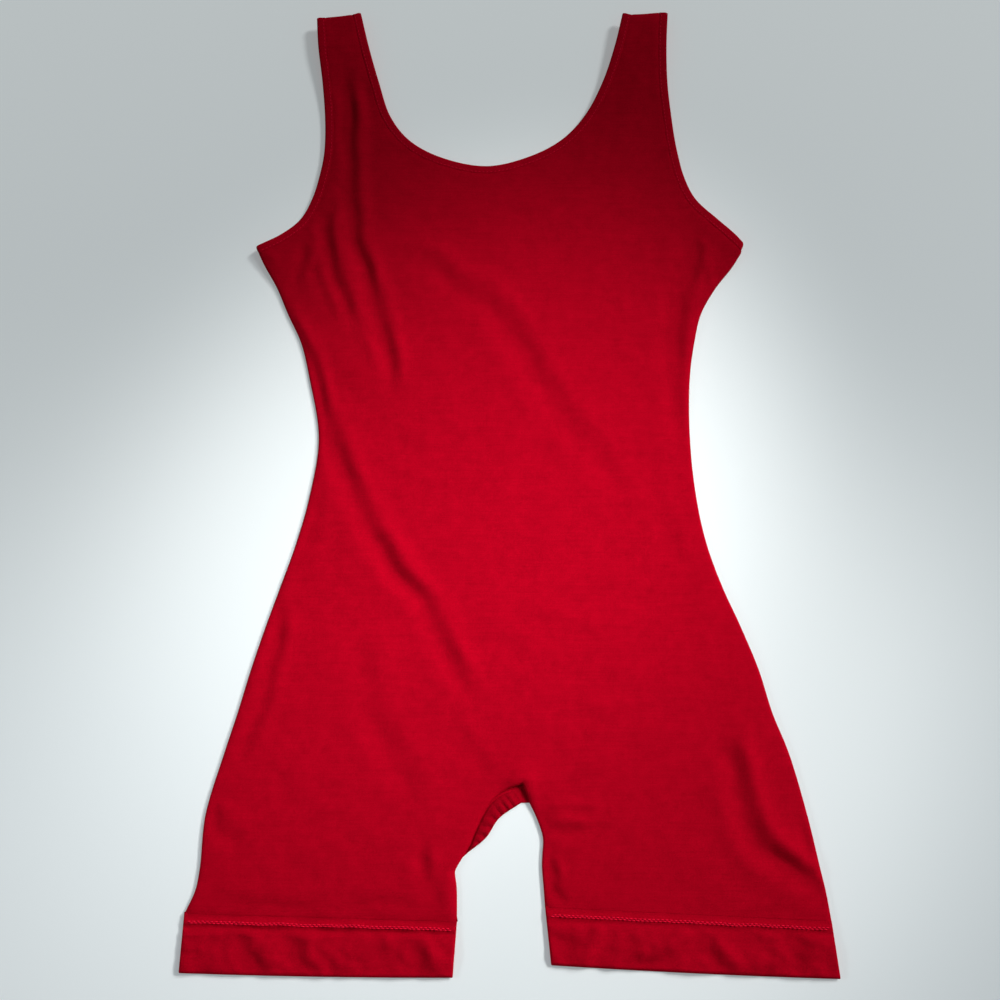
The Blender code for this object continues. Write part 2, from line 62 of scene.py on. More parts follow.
# %% [markdown]
# ## Camera
#
# A garment on a table is seen from nearly above. The camera stands at its foot end and looks down at 75
# degrees, so that the legs come out a little larger than the straps. The lens is given by the half width of
# the view at a distance of one.

# %% Camera
LOOK_AT = Vector((-0.0063, -0.0299, 0.0))
CAMERA_ELEVATION = math.radians(75.0)
CAMERA_DISTANCE = 1.15
HALF_VIEW = 0.313
SENSOR = 36.0

camera_data = bpy.data.cameras.new("camera")
camera_data.sensor_width = SENSOR
camera_data.lens = SENSOR / 2 / HALF_VIEW
camera = bpy.data.objects.new("camera", camera_data)
scene.collection.objects.link(camera)
away = Vector((0.0, -math.cos(CAMERA_ELEVATION), math.sin(CAMERA_ELEVATION)))
camera.location = LOOK_AT + away * CAMERA_DISTANCE
camera.rotation_mode = "QUATERNION"
camera.rotation_quaternion = (-away).to_track_quat("-Z", "Y")
scene.camera = camera
print("lens", round(camera_data.lens, 1), "mm")

# %% [markdown]
# ## Table and light
#
# Soft creases only show when light comes across them. A lamp above the body makes a pool of light there and
# leaves the straps dark, a second one rakes over the legs from the right, and a weak one on the left lets
# each edge of the cloth throw a soft shadow to both sides. The table is a pale plain plane with painted
# light: it glows a little, more towards the far side, because a real table also catches light from the walls.
# The Standard view keeps a deep red deep, where a filmic view would wash it out.

# %% Table
TABLE_SIZE = 6.0
TABLE_SINK = 0.00005       # metres that it lies below the cloth, so that no two faces share a place
TABLE_FADE = (-0.2, 0.5)   # from near to far, the stretch over which its colour changes
# The far colour and glow are brighter than the near ones. This is painted light, and the glow makes the table
# shine though it is no lamp.
TABLE_NEAR = (0.60, 0.645, 0.66, 1.0)
TABLE_FAR = (0.66, 0.70, 0.70, 1.0)
PAINTED_GLOW_NEAR = (0.21, 0.225, 0.225, 1.0)
PAINTED_GLOW_FAR = (0.25, 0.265, 0.26, 1.0)

scene.view_settings.view_transform = "Standard"


def node(tree, kind, inputs=None, **settings):
    """A shader node with its settings, and with values or links on its inputs."""
    made = tree.nodes.new(kind)
    for name, value in settings.items():
        setattr(made, name, value)
    for key, value in (inputs or {}).items():
        if isinstance(value, bpy.types.NodeSocket):
            tree.links.new(value, made.inputs[key])
        else:
            made.inputs[key].default_value = value
    return made


def table_finish():
    finish = bpy.data.materials.new("pale table")
    finish.use_nodes = True
    tree = finish.node_tree
    shader = tree.nodes["Principled BSDF"]
    shader.inputs["Roughness"].default_value = 0.5
    shader.inputs["Specular IOR Level"].default_value = 0.2
    place = node(tree, "ShaderNodeTexCoord").outputs["Object"]
    parts = node(tree, "ShaderNodeSeparateXYZ", {0: place})
    stretch = {"Value": parts.outputs["Y"], "From Min": TABLE_FADE[0], "From Max": TABLE_FADE[1]}
    reach = node(tree, "ShaderNodeMapRange", stretch).outputs[0]
    for socket, near, far in (("Base Color", TABLE_NEAR, TABLE_FAR), ("Emission Color", PAINTED_GLOW_NEAR, PAINTED_GLOW_FAR)):
        mix = node(tree, "ShaderNodeMix", {0: reach, 6: near, 7: far}, data_type="RGBA")
        tree.links.new(mix.outputs[2], shader.inputs[socket])
    shader.inputs["Emission Strength"].default_value = 1.0
    return finish


half = TABLE_SIZE / 2
table_mesh = bpy.data.meshes.new("table")
table_corners = [(-half, -half, 0), (half, -half, 0), (half, half, 0), (-half, half, 0)]
table_mesh.from_pydata(table_corners, [], [(0, 1, 2, 3)])
table = bpy.data.objects.new("table", table_mesh)
table.location.z = -TABLE_SINK
table_mesh.materials.append(table_finish())
scene.collection.objects.link(table)
print("table", TABLE_SIZE, "m square")

# %% Lamps
#   name        azimuth elevation distance watts  cone  radius  aim                 colour
LAMPS = (
    ("pool lamp",   50.0,  50.0,   1.35,    61.0,  22.0,  0.07, (-0.025, -0.015, 0), (1.0, 0.98, 0.96)),
    ("right lamp",  20.0,  38.0,   1.50,    62.0,  31.0,  0.10, (-0.075, -0.25, 0), (1.0, 0.97, 0.93)),
    ("left lamp",  185.0,  30.0,   1.50,    17.0,  30.0,  0.10, (0.060, -0.22, 0),  (0.93, 0.97, 1.0)),
)
SKYLIGHT_FROM = (0.65, 0.50, 0.55)
SKYLIGHT_STRENGTH = 1.4
SKYLIGHT_WIDTH = math.radians(12.0)
AIR_LIGHT = (0.80, 0.90, 1.0, 1.0)
AIR_STRENGTH = 0.15


def add_lamp(name, kind, place, aim):
    lamp_data = bpy.data.lights.new(name, kind)
    lamp = bpy.data.objects.new(name, lamp_data)
    lamp.location = place
    lamp.rotation_euler = (aim - Vector(place)).to_track_quat("-Z", "Y").to_euler()
    scene.collection.objects.link(lamp)
    return lamp_data


for name, azimuth, elevation, distance, watts, cone, radius, aim, colour in LAMPS:
    turn, rise = math.radians(azimuth), math.radians(elevation)
    toward = Vector((math.cos(turn) * math.cos(rise), math.sin(turn) * math.cos(rise), math.sin(rise)))
    lamp_data = add_lamp(name, "SPOT", Vector(aim) + toward * distance, Vector(aim))
    lamp_data.energy = watts
    lamp_data.color = colour
    lamp_data.spot_size = math.radians(cone)
    lamp_data.spot_blend = 1.0
    lamp_data.shadow_soft_size = radius

skylight = add_lamp("skylight", "SUN", SKYLIGHT_FROM, Vector((0.0, 0.0, 0.0)))
skylight.energy = SKYLIGHT_STRENGTH
skylight.angle = SKYLIGHT_WIDTH

world = bpy.data.worlds.new("room light")
world.use_nodes = True
air = world.node_tree.nodes["Background"]
air.inputs["Color"].default_value = AIR_LIGHT
air.inputs["Strength"].default_value = AIR_STRENGTH
scene.world = world
print(len(LAMPS), "soft lamps, a skylight and a weak even light")

# %% [markdown]
# ## The cut
#
# A maker would draw the front as one paper pattern: straps, neckline, armholes, side seams, crotch and
# legs. These tables are that pattern. Each row is a level on the body, with the place of each edge there,
# and a smooth curve runs through the points of a column. They are the same values that the solids were made
# from, because cloth drawn a second time by eye would not meet them.

# %% Pattern of straps, neckline and armholes
#   level            y      left arm  left neck  right neck  right arm
BODICE = (
    ("shoulder",     358.5, -147.8,   -113.8,      90.0,     125.0),
    ("strap",        330.0, -146.2,   -107.1,      83.2,     123.4),
    ("strap foot",   300.0, -142.3,    -98.7,      73.3,     123.6),
    ("neck side",    272.0, -139.8,    -89.5,      58.9,     126.0),
    ("neck turn",    252.0, -139.2,    -74.7,      40.9,     128.2),
    ("neck low",     238.0, -139.9,    -51.1,      15.8,     130.5),
    ("armhole",      222.0, -142.6,     None,      None,     134.1),
    ("armhole turn", 204.0, -147.3,     None,      None,     141.8),
    ("armhole foot", 187.0, -155.4,     None,      None,     157.7),
    ("wing",         173.5, -170.0,     None,      None,     170.6),
    ("right tip",    165.5,   None,     None,      None,     177.0),
    ("left tip",     163.0, -188.2,     None,      None,      None),
)
SHOULDER = BODICE[0][1]
NECK_BASE = (-16.0, 230.4)
LEFT_SHOULDER_DROP = 4.5
print(len(BODICE), "levels from the shoulders to the underarm tips")

# %% Pattern of side seams and inner legs
#   level            y      left side  right side
SIDES = (
    ("right tip",     165.5,   None,    177.0),
    ("left tip",      163.0, -188.2,    176.9),
    ("wing",          149.0, -181.6,    168.9),
    ("wing root",     132.0, -172.0,    155.6),
    ("chest",         111.0, -163.0,    143.8),
    ("rib",            88.0, -152.4,    138.0),
    ("high waist",     60.0, -145.3,    133.8),
    ("waist",          14.0, -137.2,    132.5),
    ("high hip",      -31.0, -142.8,    135.8),
    ("upper hip",     -65.0, -151.2,    142.1),
    ("hip",           -95.0, -160.8,    151.8),
    ("high seat",    -125.0, -170.6,    164.2),
    ("seat",         -155.0, -179.6,    175.4),
    ("low seat",     -185.0, -187.6,    183.6),
    ("thigh",        -213.0, -195.7,    193.8),
    ("leg",          -255.0, -206.7,    204.4),
    ("low leg",      -290.0, -208.8,    211.3),
    ("above hem",    -305.0, -211.2,    214.3),
)
#   level            y      left leg   right leg
INSEAMS = (
    ("crotch",       -246.5,    9.0,     14.6),
    ("below crotch", -257.0,   -6.2,     19.6),
    ("gather",       -270.0,  -15.0,     23.7),
    ("gather foot",  -281.0,  -28.6,     23.2),
    ("inner leg",    -289.0,  -35.6,     22.9),
    ("low leg",      -304.0,  -34.6,     24.0),
)
FRONT_CROTCH = (10.2, -234.0)
GUSSET_EDGE = (FRONT_CROTCH, (-2.1, -238.3), (-12.4, -247.0), (-20.6, -261.6), (-26.6, -276.0),
               (-33.6, -287.5))
#   leg      outer top          inner top          outer bottom        inner bottom
HEMS = (
    ("left",  (-217.8, -320.1), (-34.4, -325.5), (-219.6, -358.4), (-37.0, -361.4)),
    ("right", (217.2, -325.1),  (24.8, -316.1),  (221.2, -362.2),  (28.6, -353.4)),
)
HEM_SAG = 0.8
MIDDLE = (0.8, -1.8)               # of the pattern's outline, which is the model's origin
print("length", SHOULDER - HEMS[1][3][1], "mm")

# %% Sizes of the cloth
WALL = 1.0
SEAM_GAP = 0.3
CASING_WIDTH = 6.6
CASING_THICK = 1.7
INSIDE = CASING_WIDTH - 0.4        # the panels' cut edge, tucked under the casing, from the finished edge
TIP_EASE = 1.2
MITRE_REACH = 12.0
HEM_WALL = 1.5
HEM_TOP = 3.8
HEM_DEEP = 37.0
SHOULDER_LIFT = 6.0
LIFT_START = 262.0
TIP_LIFT = 3.0
TIP_REACH = 42.0
print("cloth", WALL, "mm, casings", CASING_WIDTH, "mm, hems", HEM_TOP, "mm high")

# %% [markdown]
# ## From pattern points to curves
#
# A dressmaker bends a flexible ruler through the marks. The centripetal Catmull-Rom curve does the same: it
# goes through every point, and it doesn't swing out where points lie close together. The other helpers walk
# along a curve, step off to its side, and find how far any point of the cloth is from it. That distance is
# what rounds an edge or presses in a crease.

# %% Curves


def trim(line, start, end, step):
    """The line without its first and last stretch, with points about one step apart."""
    along = np.concatenate([[0.0], np.cumsum(np.linalg.norm(np.diff(line, axis=0), axis=1))])
    places = np.linspace(start, along[-1] - end, max(2, round((along[-1] - start - end) / step) + 1))
    return np.stack([np.interp(places, along, line[:, k]) for k in range(line.shape[1])], axis=1)


def smooth_line(points, step):
    """Points about one step apart on a smooth curve through the given points."""
    pieces = 24
    given = [np.array(p, float) for p in points]
    given = [2 * given[0] - given[1]] + given + [2 * given[-1] - given[-2]]
    fine = []
    for a, b, c, d in zip(given, given[1:], given[2:], given[3:]):
        knots = np.cumsum([0.0] + [math.sqrt(np.linalg.norm(q - p)) for p, q in ((a, b), (b, c), (c, d))])
        for t in np.linspace(knots[1], knots[2], pieces, endpoint=False):
            ab = a + (b - a) * (t - knots[0]) / (knots[1] - knots[0])
            bc = b + (c - b) * (t - knots[1]) / (knots[2] - knots[1])
            cd = c + (d - c) * (t - knots[2]) / (knots[3] - knots[2])
            abc = ab + (bc - ab) * (t - knots[0]) / (knots[2] - knots[0])
            bcd = bc + (cd - bc) * (t - knots[1]) / (knots[3] - knots[1])
            fine.append(abc + (bcd - abc) * (t - knots[1]) / (knots[2] - knots[1]))
    fine.append(given[-2])
    return trim(np.array(fine), 0.0, 0.0, step)


def left_hand(line):
    """Unit vectors to the left hand of one who walks along the line."""
    ahead = np.gradient(line, axis=0)
    ahead /= np.linalg.norm(ahead, axis=1)[:, None]
    return np.stack([-ahead[:, 1], ahead[:, 0]], axis=1)


def place_on(line, points):
    """Signed distance of each point from a line, left hand positive, and how far along the line, 0 to 1."""
    best = np.full(len(points), 1e9)
    signed = np.zeros(len(points))
    fraction = np.zeros(len(points))
    for number, (a, b) in enumerate(zip(line, line[1:])):
        ab = b - a
        t = np.clip((points - a) @ ab / (ab @ ab), 0.0, 1.0)
        away = points - (a + t[:, None] * ab)
        distance = np.hypot(away[:, 0], away[:, 1])
        nearer = distance < best
        side = np.where(ab[0] * away[:, 1] - ab[1] * away[:, 0] < 0, -1.0, 1.0)
        signed = np.where(nearer, side * distance, signed)
        fraction = np.where(nearer, (number + t) / (len(line) - 1), fraction)
        best = np.where(nearer, distance, best)
    return signed, fraction


def distance_to(lines, points):
    """Distance of each point from the nearest of some lines."""
    return np.min([np.abs(place_on(line, points)[0]) for line in lines], axis=0)


def ease(value):
    """From 0 to 1 with a soft start and end."""
    value = np.clip(value, 0.0, 1.0)
    return value * value * (3.0 - 2.0 * value)


def bell(value):
    """1 in the middle, with soft flanks that have all but gone at 2 and at -2."""
    return np.exp(-(value ** 2))


def soft_floor(heights, floor, sharpness=4.0):
    """The heights, with a smooth turn where they would go below the floor."""
    return floor + np.logaddexp(0.0, (heights - floor) * sharpness) / sharpness


def column(table, number):
    return [(row[number], row[1]) for row in table if row[number] is not None]


print("curve helpers ready")

# %% The garment's lines
LINE_STEP = 2.0
left_arm_points = column(BODICE, 2)
left_arm_points[0] = (left_arm_points[0][0], SHOULDER - LEFT_SHOULDER_DROP)
left_arm = smooth_line(left_arm_points, LINE_STEP)
right_arm = smooth_line(column(BODICE, 5), LINE_STEP)
neck = smooth_line(column(BODICE, 3) + [NECK_BASE] + column(BODICE, 4)[::-1], LINE_STEP)
left_side = smooth_line(column(SIDES, 2) + [HEMS[0][1]], LINE_STEP)
right_side = smooth_line(column(SIDES, 3) + [HEMS[1][1]], LINE_STEP)
left_inseam = smooth_line(column(INSEAMS, 2) + [HEMS[0][2]], LINE_STEP)
right_inseam = smooth_line(column(INSEAMS, 3) + [HEMS[1][2]], LINE_STEP)
gusset_edge = smooth_line(GUSSET_EDGE, LINE_STEP)


def inwards(line, inward, side=None):
    """Directions from a finished edge into the garment, turned to follow the side seam at an underarm tip."""
    across = left_hand(line) * inward
    if side is None:
        return across
    down = side[4] - side[0]
    down /= np.linalg.norm(down)
    share = ease(1.0 - np.linalg.norm(line - side[0], axis=1) / MITRE_REACH)[:, None]
    return across * (1.0 - share) + down * share


arm_seam_left = left_arm + inwards(left_arm, 1, left_side) * INSIDE
arm_seam_right = right_arm + inwards(right_arm, -1, right_side) * INSIDE
neck_seam = neck + inwards(neck, -1) * INSIDE
print("neckline", round(len(neck) * LINE_STEP), "mm on the front")

# %% [markdown]
# ## How the garment lies
#
# The back panel and the hems lie on the table. The straps stand clear of it towards the shoulders, where
# the cloth turns over from front to back, and so do the two underarm tips. One function gives the height of
# the underside everywhere, and all pieces stand on it, so that they stay together.

# %% Height of the underside


def rest_height(points):
    """Height of the garment's underside: on the surface, but for the straps and the underarm tips."""
    lift = SHOULDER_LIFT * ease((points[:, 1] - LIFT_START) / (SHOULDER - LIFT_START))
    for tip in (left_arm[-1], right_arm[-1]):
        away = np.linalg.norm(points - tip, axis=1)
        lift = lift + TIP_LIFT * ease(1.0 - away / TIP_REACH)
    return lift


print("shoulders stand", SHOULDER_LIFT, "mm and underarm tips", TIP_LIFT, "mm clear of the table")

# %% [markdown]
# ## Creases
#
# Knit that lies flat doesn't fold sharply. Each crease is a soft trough with a low bank of cloth pushed up
# beside it, and both fade out at their ends. They could be simulated, but a simulation never puts a crease
# where it is wanted. So each is placed one by one: its name, the depth of its trough, the height of its bank,
# the side the bank is on, its half width and its route. The eye sees the slope between trough and bank, so
# the route runs along that slope. The first table holds the large ones, which the solid has too.

# %% Large creases of the front
#   name          trough ridge side half width, points
CREASES = (
    ("strap", 2.4, 2.1, 1, 5.3, ((-123, 330), (-119, 286), (-117, 252), (-114, 202), (-111, 174),
                                 (-101, 141), (-91, 105), (-83, 74), (-81, 36))),
    ("wing fold", 1.3, 1.0, 1, 4.2, ((-137, 200), (-130, 155), (-120, 127), (-106, 99))),
    ("wing short", 1.1, 0.8, 1, 4.0, ((-148, 168), (-153, 149), (-158, 130))),
    ("chest", 1.3, 1.1, 1, 8.0, ((-97, 163), (-60, 155), (-31, 134), (-4, 115), (19, 80), (43, 36), (73, 2),
                                 (90, -14))),
    ("chest end", 0.4, 0.4, 1, 8.0, ((66, 6), (86, -22), (97, -51))),
    ("overhang", 1.9, 2.0, 1, 4.0, ((-166, 124), (-156, 102), (-145, 80), (-138, 60), (-127, 26))),
    ("hip diagonal", 1.3, 1.6, 1, 6.4, ((-138, 58), (-118, 1), (-99, -43), (-75, -83), (-54, -108),
                                        (-41, -139), (-28, -163), (-9, -182))),
    ("right edge", 1.7, 1.6, 1, 8.0, ((143, 184), (140, 145), (131, 115), (129, 45), (134, -8))),
    ("right wing", 0.8, 0.6, 1, 3.5, ((150, 153), (150, 128))),
    ("right leg", 1.3, 3.2, 1, 7.0, ((153, -190), (160, -225), (167, -254), (175, -272), (198, -291),
                                     (228, -314))),
    ("right leg foot", 1.4, 0.8, 1, 4.5, ((176, -270), (197, -290), (213, -303), (236, -322))),
    ("left hip", 1.3, 1.2, 1, 5.0, ((-154, -105), (-166, -172), (-184, -222))),
    ("left outer", 1.1, 0.8, 1, 6.0, ((-205, -250), (-190, -262), (-176, -272))),
    ("left low", 0.8, 0.6, 1, 7.0, ((-155, -275), (-133, -288), (-106, -292))),
    ("left thigh", 0.9, 0.8, 1, 9.0, ((-97, -115), (-94, -171), (-76, -203), (-54, -250))),
    ("left hem", 0.7, 0.5, 1, 5.0, ((-206, -308), (-147, -312), (-70, -308))),
    ("inner left", 1.0, 0.8, 1, 5.0, ((-58, -276), (-51, -298), (-47, -318))),
    ("crotch pull", 1.3, 1.4, 1, 4.5, ((27, -261), (38, -262), (52, -262), (68, -256))),
    ("inner right", 0.8, 0.7, 1, 4.5, ((27, -285), (33, -302), (44, -311))),
)
print(len(CREASES), "large creases")

# %% Small creases of the front
FINE_CREASES = (
    ("strap left side", 0.5, 0.3, 1, 4.0, ((-131, 321), (-131, 278), (-129, 244), (-133, 211))),
    ("strap branch", 0.6, 0.4, 1, 3.5, ((-119, 215), (-128, 198), (-135, 178))),
    ("wing ripple", 0.5, 0.4, 1, 3.5, ((-142, 152), (-136, 129), (-124, 107))),
    ("wing tip dent", 0.8, 0.5, 1, 3.0, ((-181, 156), (-173, 147))),
    ("chest short", 0.4, 0.4, -1, 4.0, ((-114, 65), (-124, 60), (-130, 63))),
    ("crease hook", 0.5, 0.5, 1, 3.5, ((-82, 16), (-72, 14), (-61, 20))),
    ("right strap", 0.3, 0.2, 1, 6.0, ((91, 312), (88, 269), (78, 235))),
    ("right wing fold", 0.6, 0.5, 1, 3.5, ((145, 172), (144, 152), (139, 130))),
    ("belly left", 0.3, 0.2, 1, 8.0, ((-42, 59), (-57, 35), (-60, 13))),
    ("belly fan a", 0.3, 0.2, 1, 7.0, ((-28, -119), (8, -140), (57, -160), (102, -169))),
    ("belly fan b", 0.2, 0.2, 1, 6.0, ((-6, -106), (37, -121), (72, -134))),
    ("belly fan c", 0.3, 0.2, 1, 6.0, ((-21, -152), (15, -169), (57, -185), (91, -187))),
    ("right waist", 0.3, 0.2, 1, 7.0, ((106, -10), (115, -47), (130, -77))),
    ("right hip", 0.3, 0.2, 1, 6.0, ((140, -88), (129, -106), (93, -116))),
    ("right thigh arc", 0.3, 0.3, 1, 6.0, ((70, -212), (105, -201), (139, -205), (163, -221))),
    ("right thigh low", 0.3, 0.2, 1, 6.0, ((90, -245), (125, -238), (151, -253))),
    ("right knee", 0.3, 0.2, 1, 7.0, ((62, -291), (96, -298), (143, -290))),
    ("right hem pull", 0.5, 0.4, 1, 3.5, ((183, -314), (196, -308), (211, -310))),
    ("right leg side", 1.3, 0.0, 1, 3.5, ((202, -254), (206, -278), (210, -296), (213, -310))),
    ("inner right side", 1.6, 0.0, 1, 7.0, ((25, -247), (28, -260), (30, -277), (30, -296), (31, -316))),
    ("crotch ridge", 0.5, 1.0, 1, 3.5, ((26, -254), (45, -251), (66, -251))),
    ("inner right a", 1.2, 0.9, 1, 3.0, ((27, -283), (32, -290), (33, -298))),
    ("inner right b", 1.0, 1.0, 1, 3.0, ((30, -301), (35, -310), (42, -315))),
    ("crotch fan left", 0.4, 0.3, -1, 6.0, ((-6, -228), (-26, -207), (-40, -190))),
    ("crotch fan right", 0.4, 0.3, -1, 6.0, ((22, -231), (46, -221), (63, -204))),
    ("left thigh arc", 0.4, 0.3, 1, 6.0, ((-164, -218), (-142, -245), (-108, -265), (-80, -278))),
    ("left hem spot a", 1.0, 0.3, 1, 4.0, ((-158, -314), (-145, -316), (-132, -315))),
    ("left hem spot b", 1.0, 0.3, 1, 4.0, ((-90, -313), (-74, -310), (-60, -311))),
    ("left leg edge", 0.5, 0.4, 1, 4.0, ((-196, -245), (-199, -265), (-188, -270))),
    ("inner left a", 0.9, 0.6, 1, 3.5, ((-41, -289), (-46, -305), (-42, -319))),
    ("inner left b", 0.5, 0.4, 1, 4.0, ((-53, -268), (-56, -288), (-49, -305))),
    ("left waist", 0.5, 0.3, 1, 5.0, ((-132, -18), (-136, -55), (-147, -84))),
)
NECK_DIMPLES = ((-77, 241), (48, 237), (64, 257), (-38, 228), (18, 229))
DIMPLE_DEPTH = 0.5
DIMPLE_RADIUS = 4.0
print(len(FINE_CREASES), "small creases and", len(NECK_DIMPLES), "dimples below the neckline")

# %% Height of creases
FADE = 0.22                # share of a crease's length over which each end fades
BANK_PLACE = 1.9           # how far its bank lies from the trough, in half widths
SLOPE_PLACE = 0.95         # how far the slope between them, which is the route, lies from the trough
FAR_BANK = 0.25            # height of the lower bank on the other side, as a share
WANDER = 1.2               # how far a crease wanders off its drawn route
WANDER_SCALE = 24.0
ROUTE_STEP = 6.0


def uneven(points, scale, layer):
    """Smooth unevenness, about -0.5 to 0.5, the same at every run."""
    return np.array([noise.noise(Vector((x / scale, y / scale, layer))) for x, y in points])


def crease_height(points, creases):
    """How far a table of creases lifts or lowers the cloth at each point."""
    total = np.zeros(len(points))
    wander = uneven(points, WANDER_SCALE, 3.0) * 2 * WANDER
    swell = 1.0 + uneven(points, 2 * WANDER_SCALE, 5.0)
    for name, trough, bank, side, half_width, route in creases:
        signed, fraction = place_on(smooth_line(route, ROUTE_STEP), points)
        ends = ease(fraction / FADE) * ease((1.0 - fraction) / FADE) * swell
        place = (signed + wander) * side / half_width + SLOPE_PLACE
        banks = bell(place - BANK_PLACE) + FAR_BANK * bell(place + BANK_PLACE)
        total += ends * (bank * banks - trough * bell(place))
    return total


print("creases wander up to", WANDER, "mm off their routes")

# %% [markdown]
# ## Colour and knit
#
# Plain jersey is rows of small loops. From above they are about seven tenths of a millimetre wide, so they
# never show as loops at this distance, but they break the light: the cloth looks matt and very slightly
# ribbed along its length, with faint streaks across where one row of loops took the dye a little
# differently. The group below makes that once. It puts out a colour, a roughness and a height for a Bump
# node, and the panels and the turned edges use it with their own values.

# %% Node group for the knit
WALE = 0.00072             # width of one column of loops
COURSE = 0.00058           # height of one row of loops
LEG_SHARE = 0.4            # height of a loop's two legs, as a share of the rib between columns
FUZZ_SHARE = 1.2           # how far the grain also lifts the surface
ROUGHNESS = (0.96, 0.84)   # where the shade is deep and where it is light
#   name        scale  stretch           detail
FLECKS = (
    ("Streaks",   30.0, (1.0, 28.0, 1.0), 2.0),
    ("Mottling", 150.0, (1.0, 1.0, 1.0),  3.0),
    ("Grain",    900.0, (1.0, 1.3, 1.0),  1.0),
)


def arithmetic(tree, operation, a, b=0.0):
    return node(tree, "ShaderNodeMath", {0: a, 1: b}, operation=operation).outputs[0]


def knit_group():
    """Jersey: columns of loops with leaning legs, dye streaks along the rows, and soft mottling."""
    tree = bpy.data.node_groups.new("Jersey knit", "ShaderNodeTree")
    for name, kind, value in (
        ("Colour", "NodeSocketColor", (0.4, 0.0, 0.01, 1.0)),
        ("Deep colour", "NodeSocketColor", (0.3, 0.0, 0.01, 1.0)),
        ("Streaks", "NodeSocketFloat", 0.5),
        ("Mottling", "NodeSocketFloat", 0.5),
        ("Grain", "NodeSocketFloat", 0.5),
    ):
        tree.interface.new_socket(name, in_out="INPUT", socket_type=kind).default_value = value
    tree.interface.new_socket("Colour", in_out="OUTPUT", socket_type="NodeSocketColor")
    for name in ("Roughness", "Height"):
        tree.interface.new_socket(name, in_out="OUTPUT", socket_type="NodeSocketFloat")
    given = node(tree, "NodeGroupInput").outputs
    place = node(tree, "ShaderNodeTexCoord").outputs["Object"]
    parts = node(tree, "ShaderNodeSeparateXYZ", {0: place})
    wale = arithmetic(tree, "DIVIDE", parts.outputs["X"], WALE)
    course = arithmetic(tree, "DIVIDE", parts.outputs["Y"], COURSE)
    rib = arithmetic(tree, "ABSOLUTE", arithmetic(tree, "SINE", arithmetic(tree, "MULTIPLY", wale, math.pi)))
    lean = arithmetic(tree, "PINGPONG", wale, 0.5)
    phase = arithmetic(tree, "MULTIPLY", arithmetic(tree, "ADD", course, lean), 2 * math.pi)
    legs = arithmetic(tree, "MULTIPLY", arithmetic(tree, "SINE", phase), rib)
    height = arithmetic(tree, "ADD", arithmetic(tree, "MULTIPLY", legs, LEG_SHARE), rib)
    shade = 0.5
    for name, scale, stretch, detail in FLECKS:
        spread = node(tree, "ShaderNodeMapping", {"Vector": place, "Scale": stretch}).outputs[0]
        made = node(tree, "ShaderNodeTexNoise", {"Vector": spread, "Scale": scale, "Detail": detail})
        centred = arithmetic(tree, "SUBTRACT", made.outputs["Fac"], 0.5)
        fleck = arithmetic(tree, "MULTIPLY", centred, given[name])
        shade = arithmetic(tree, "ADD", fleck, shade)
    colours = {0: shade, 6: given["Deep colour"], 7: given["Colour"]}
    colour = node(tree, "ShaderNodeMix", colours, data_type="RGBA").outputs[2]
    rough = node(tree, "ShaderNodeMapRange", {"Value": shade, "To Min": ROUGHNESS[0], "To Max": ROUGHNESS[1]})
    height = arithmetic(tree, "ADD", height, arithmetic(tree, "MULTIPLY", fleck, FUZZ_SHARE))
    node(tree, "NodeGroupOutput", {"Colour": colour, "Roughness": rough.outputs[0], "Height": height})
    return tree


jersey = knit_group()
print("jersey has", len(jersey.nodes), "nodes")

# %% Finishes
#   name            colour                  deep colour              streaks mottling grain bump
FINISHES = (
    ("red jersey", (0.440, 0.0005, 0.0122, 1), (0.300, 0.0002, 0.0078, 1), 0.7, 0.8, 1.1, 0.35),
    ("red turned edge", (0.450, 0.0005, 0.0125, 1), (0.305, 0.0002, 0.0080, 1), 0.5, 0.8, 1.2, 0.45),
    # The gathers' finish is the same jersey painted darker. This is painted shade, because the gathers catch
    # less light.
    ("red gathers in painted shade", (0.340, 0.0004, 0.0095, 1), (0.230, 0.0002, 0.0060, 1), 0.4, 0.8, 1.2, 0.45),
)
LOOP_DEPTH = 0.00022
FUZZ_TINT = (1.0, 0.0, 0.03, 1.0)


def cloth_finish(name, colour, deep, streaks, mottling, grain, bump):
    finish = bpy.data.materials.new(name)
    finish.use_nodes = True
    tree = finish.node_tree
    shader = tree.nodes["Principled BSDF"]
    values = {"Colour": colour, "Deep colour": deep, "Streaks": streaks, "Mottling": mottling, "Grain": grain}
    knit = node(tree, "ShaderNodeGroup", node_tree=jersey)
    for key, value in values.items():
        knit.inputs[key].default_value = value
    bump_inputs = {"Height": knit.outputs["Height"], "Strength": bump, "Distance": LOOP_DEPTH}
    relief = node(tree, "ShaderNodeBump", bump_inputs)
    tree.links.new(knit.outputs["Colour"], shader.inputs["Base Color"])
    tree.links.new(knit.outputs["Roughness"], shader.inputs["Roughness"])
    tree.links.new(relief.outputs[0], shader.inputs["Normal"])
    shader.inputs["Specular IOR Level"].default_value = 0.01
    shader.inputs["Sheen Weight"].default_value = 0.12
    shader.inputs["Sheen Roughness"].default_value = 0.45
    shader.inputs["Sheen Tint"].default_value = FUZZ_TINT
    return finish


cloth, turned_cloth, shaded_gathers_cloth = (cloth_finish(*row) for row in FINISHES)
print("finishes:", ", ".join(row[0] for row in FINISHES))

# %% Sewing thread
# The thread's colour is lighter than the cloth's. It is partly the thread's own dye and partly a painted
# highlight where the stitches catch light.
THREAD_COLOUR_AND_HIGHLIGHT = (0.72, 0.001, 0.029, 1.0)
TWIST_SCALE = 900.0
TWIST_DEPTH = 0.0001


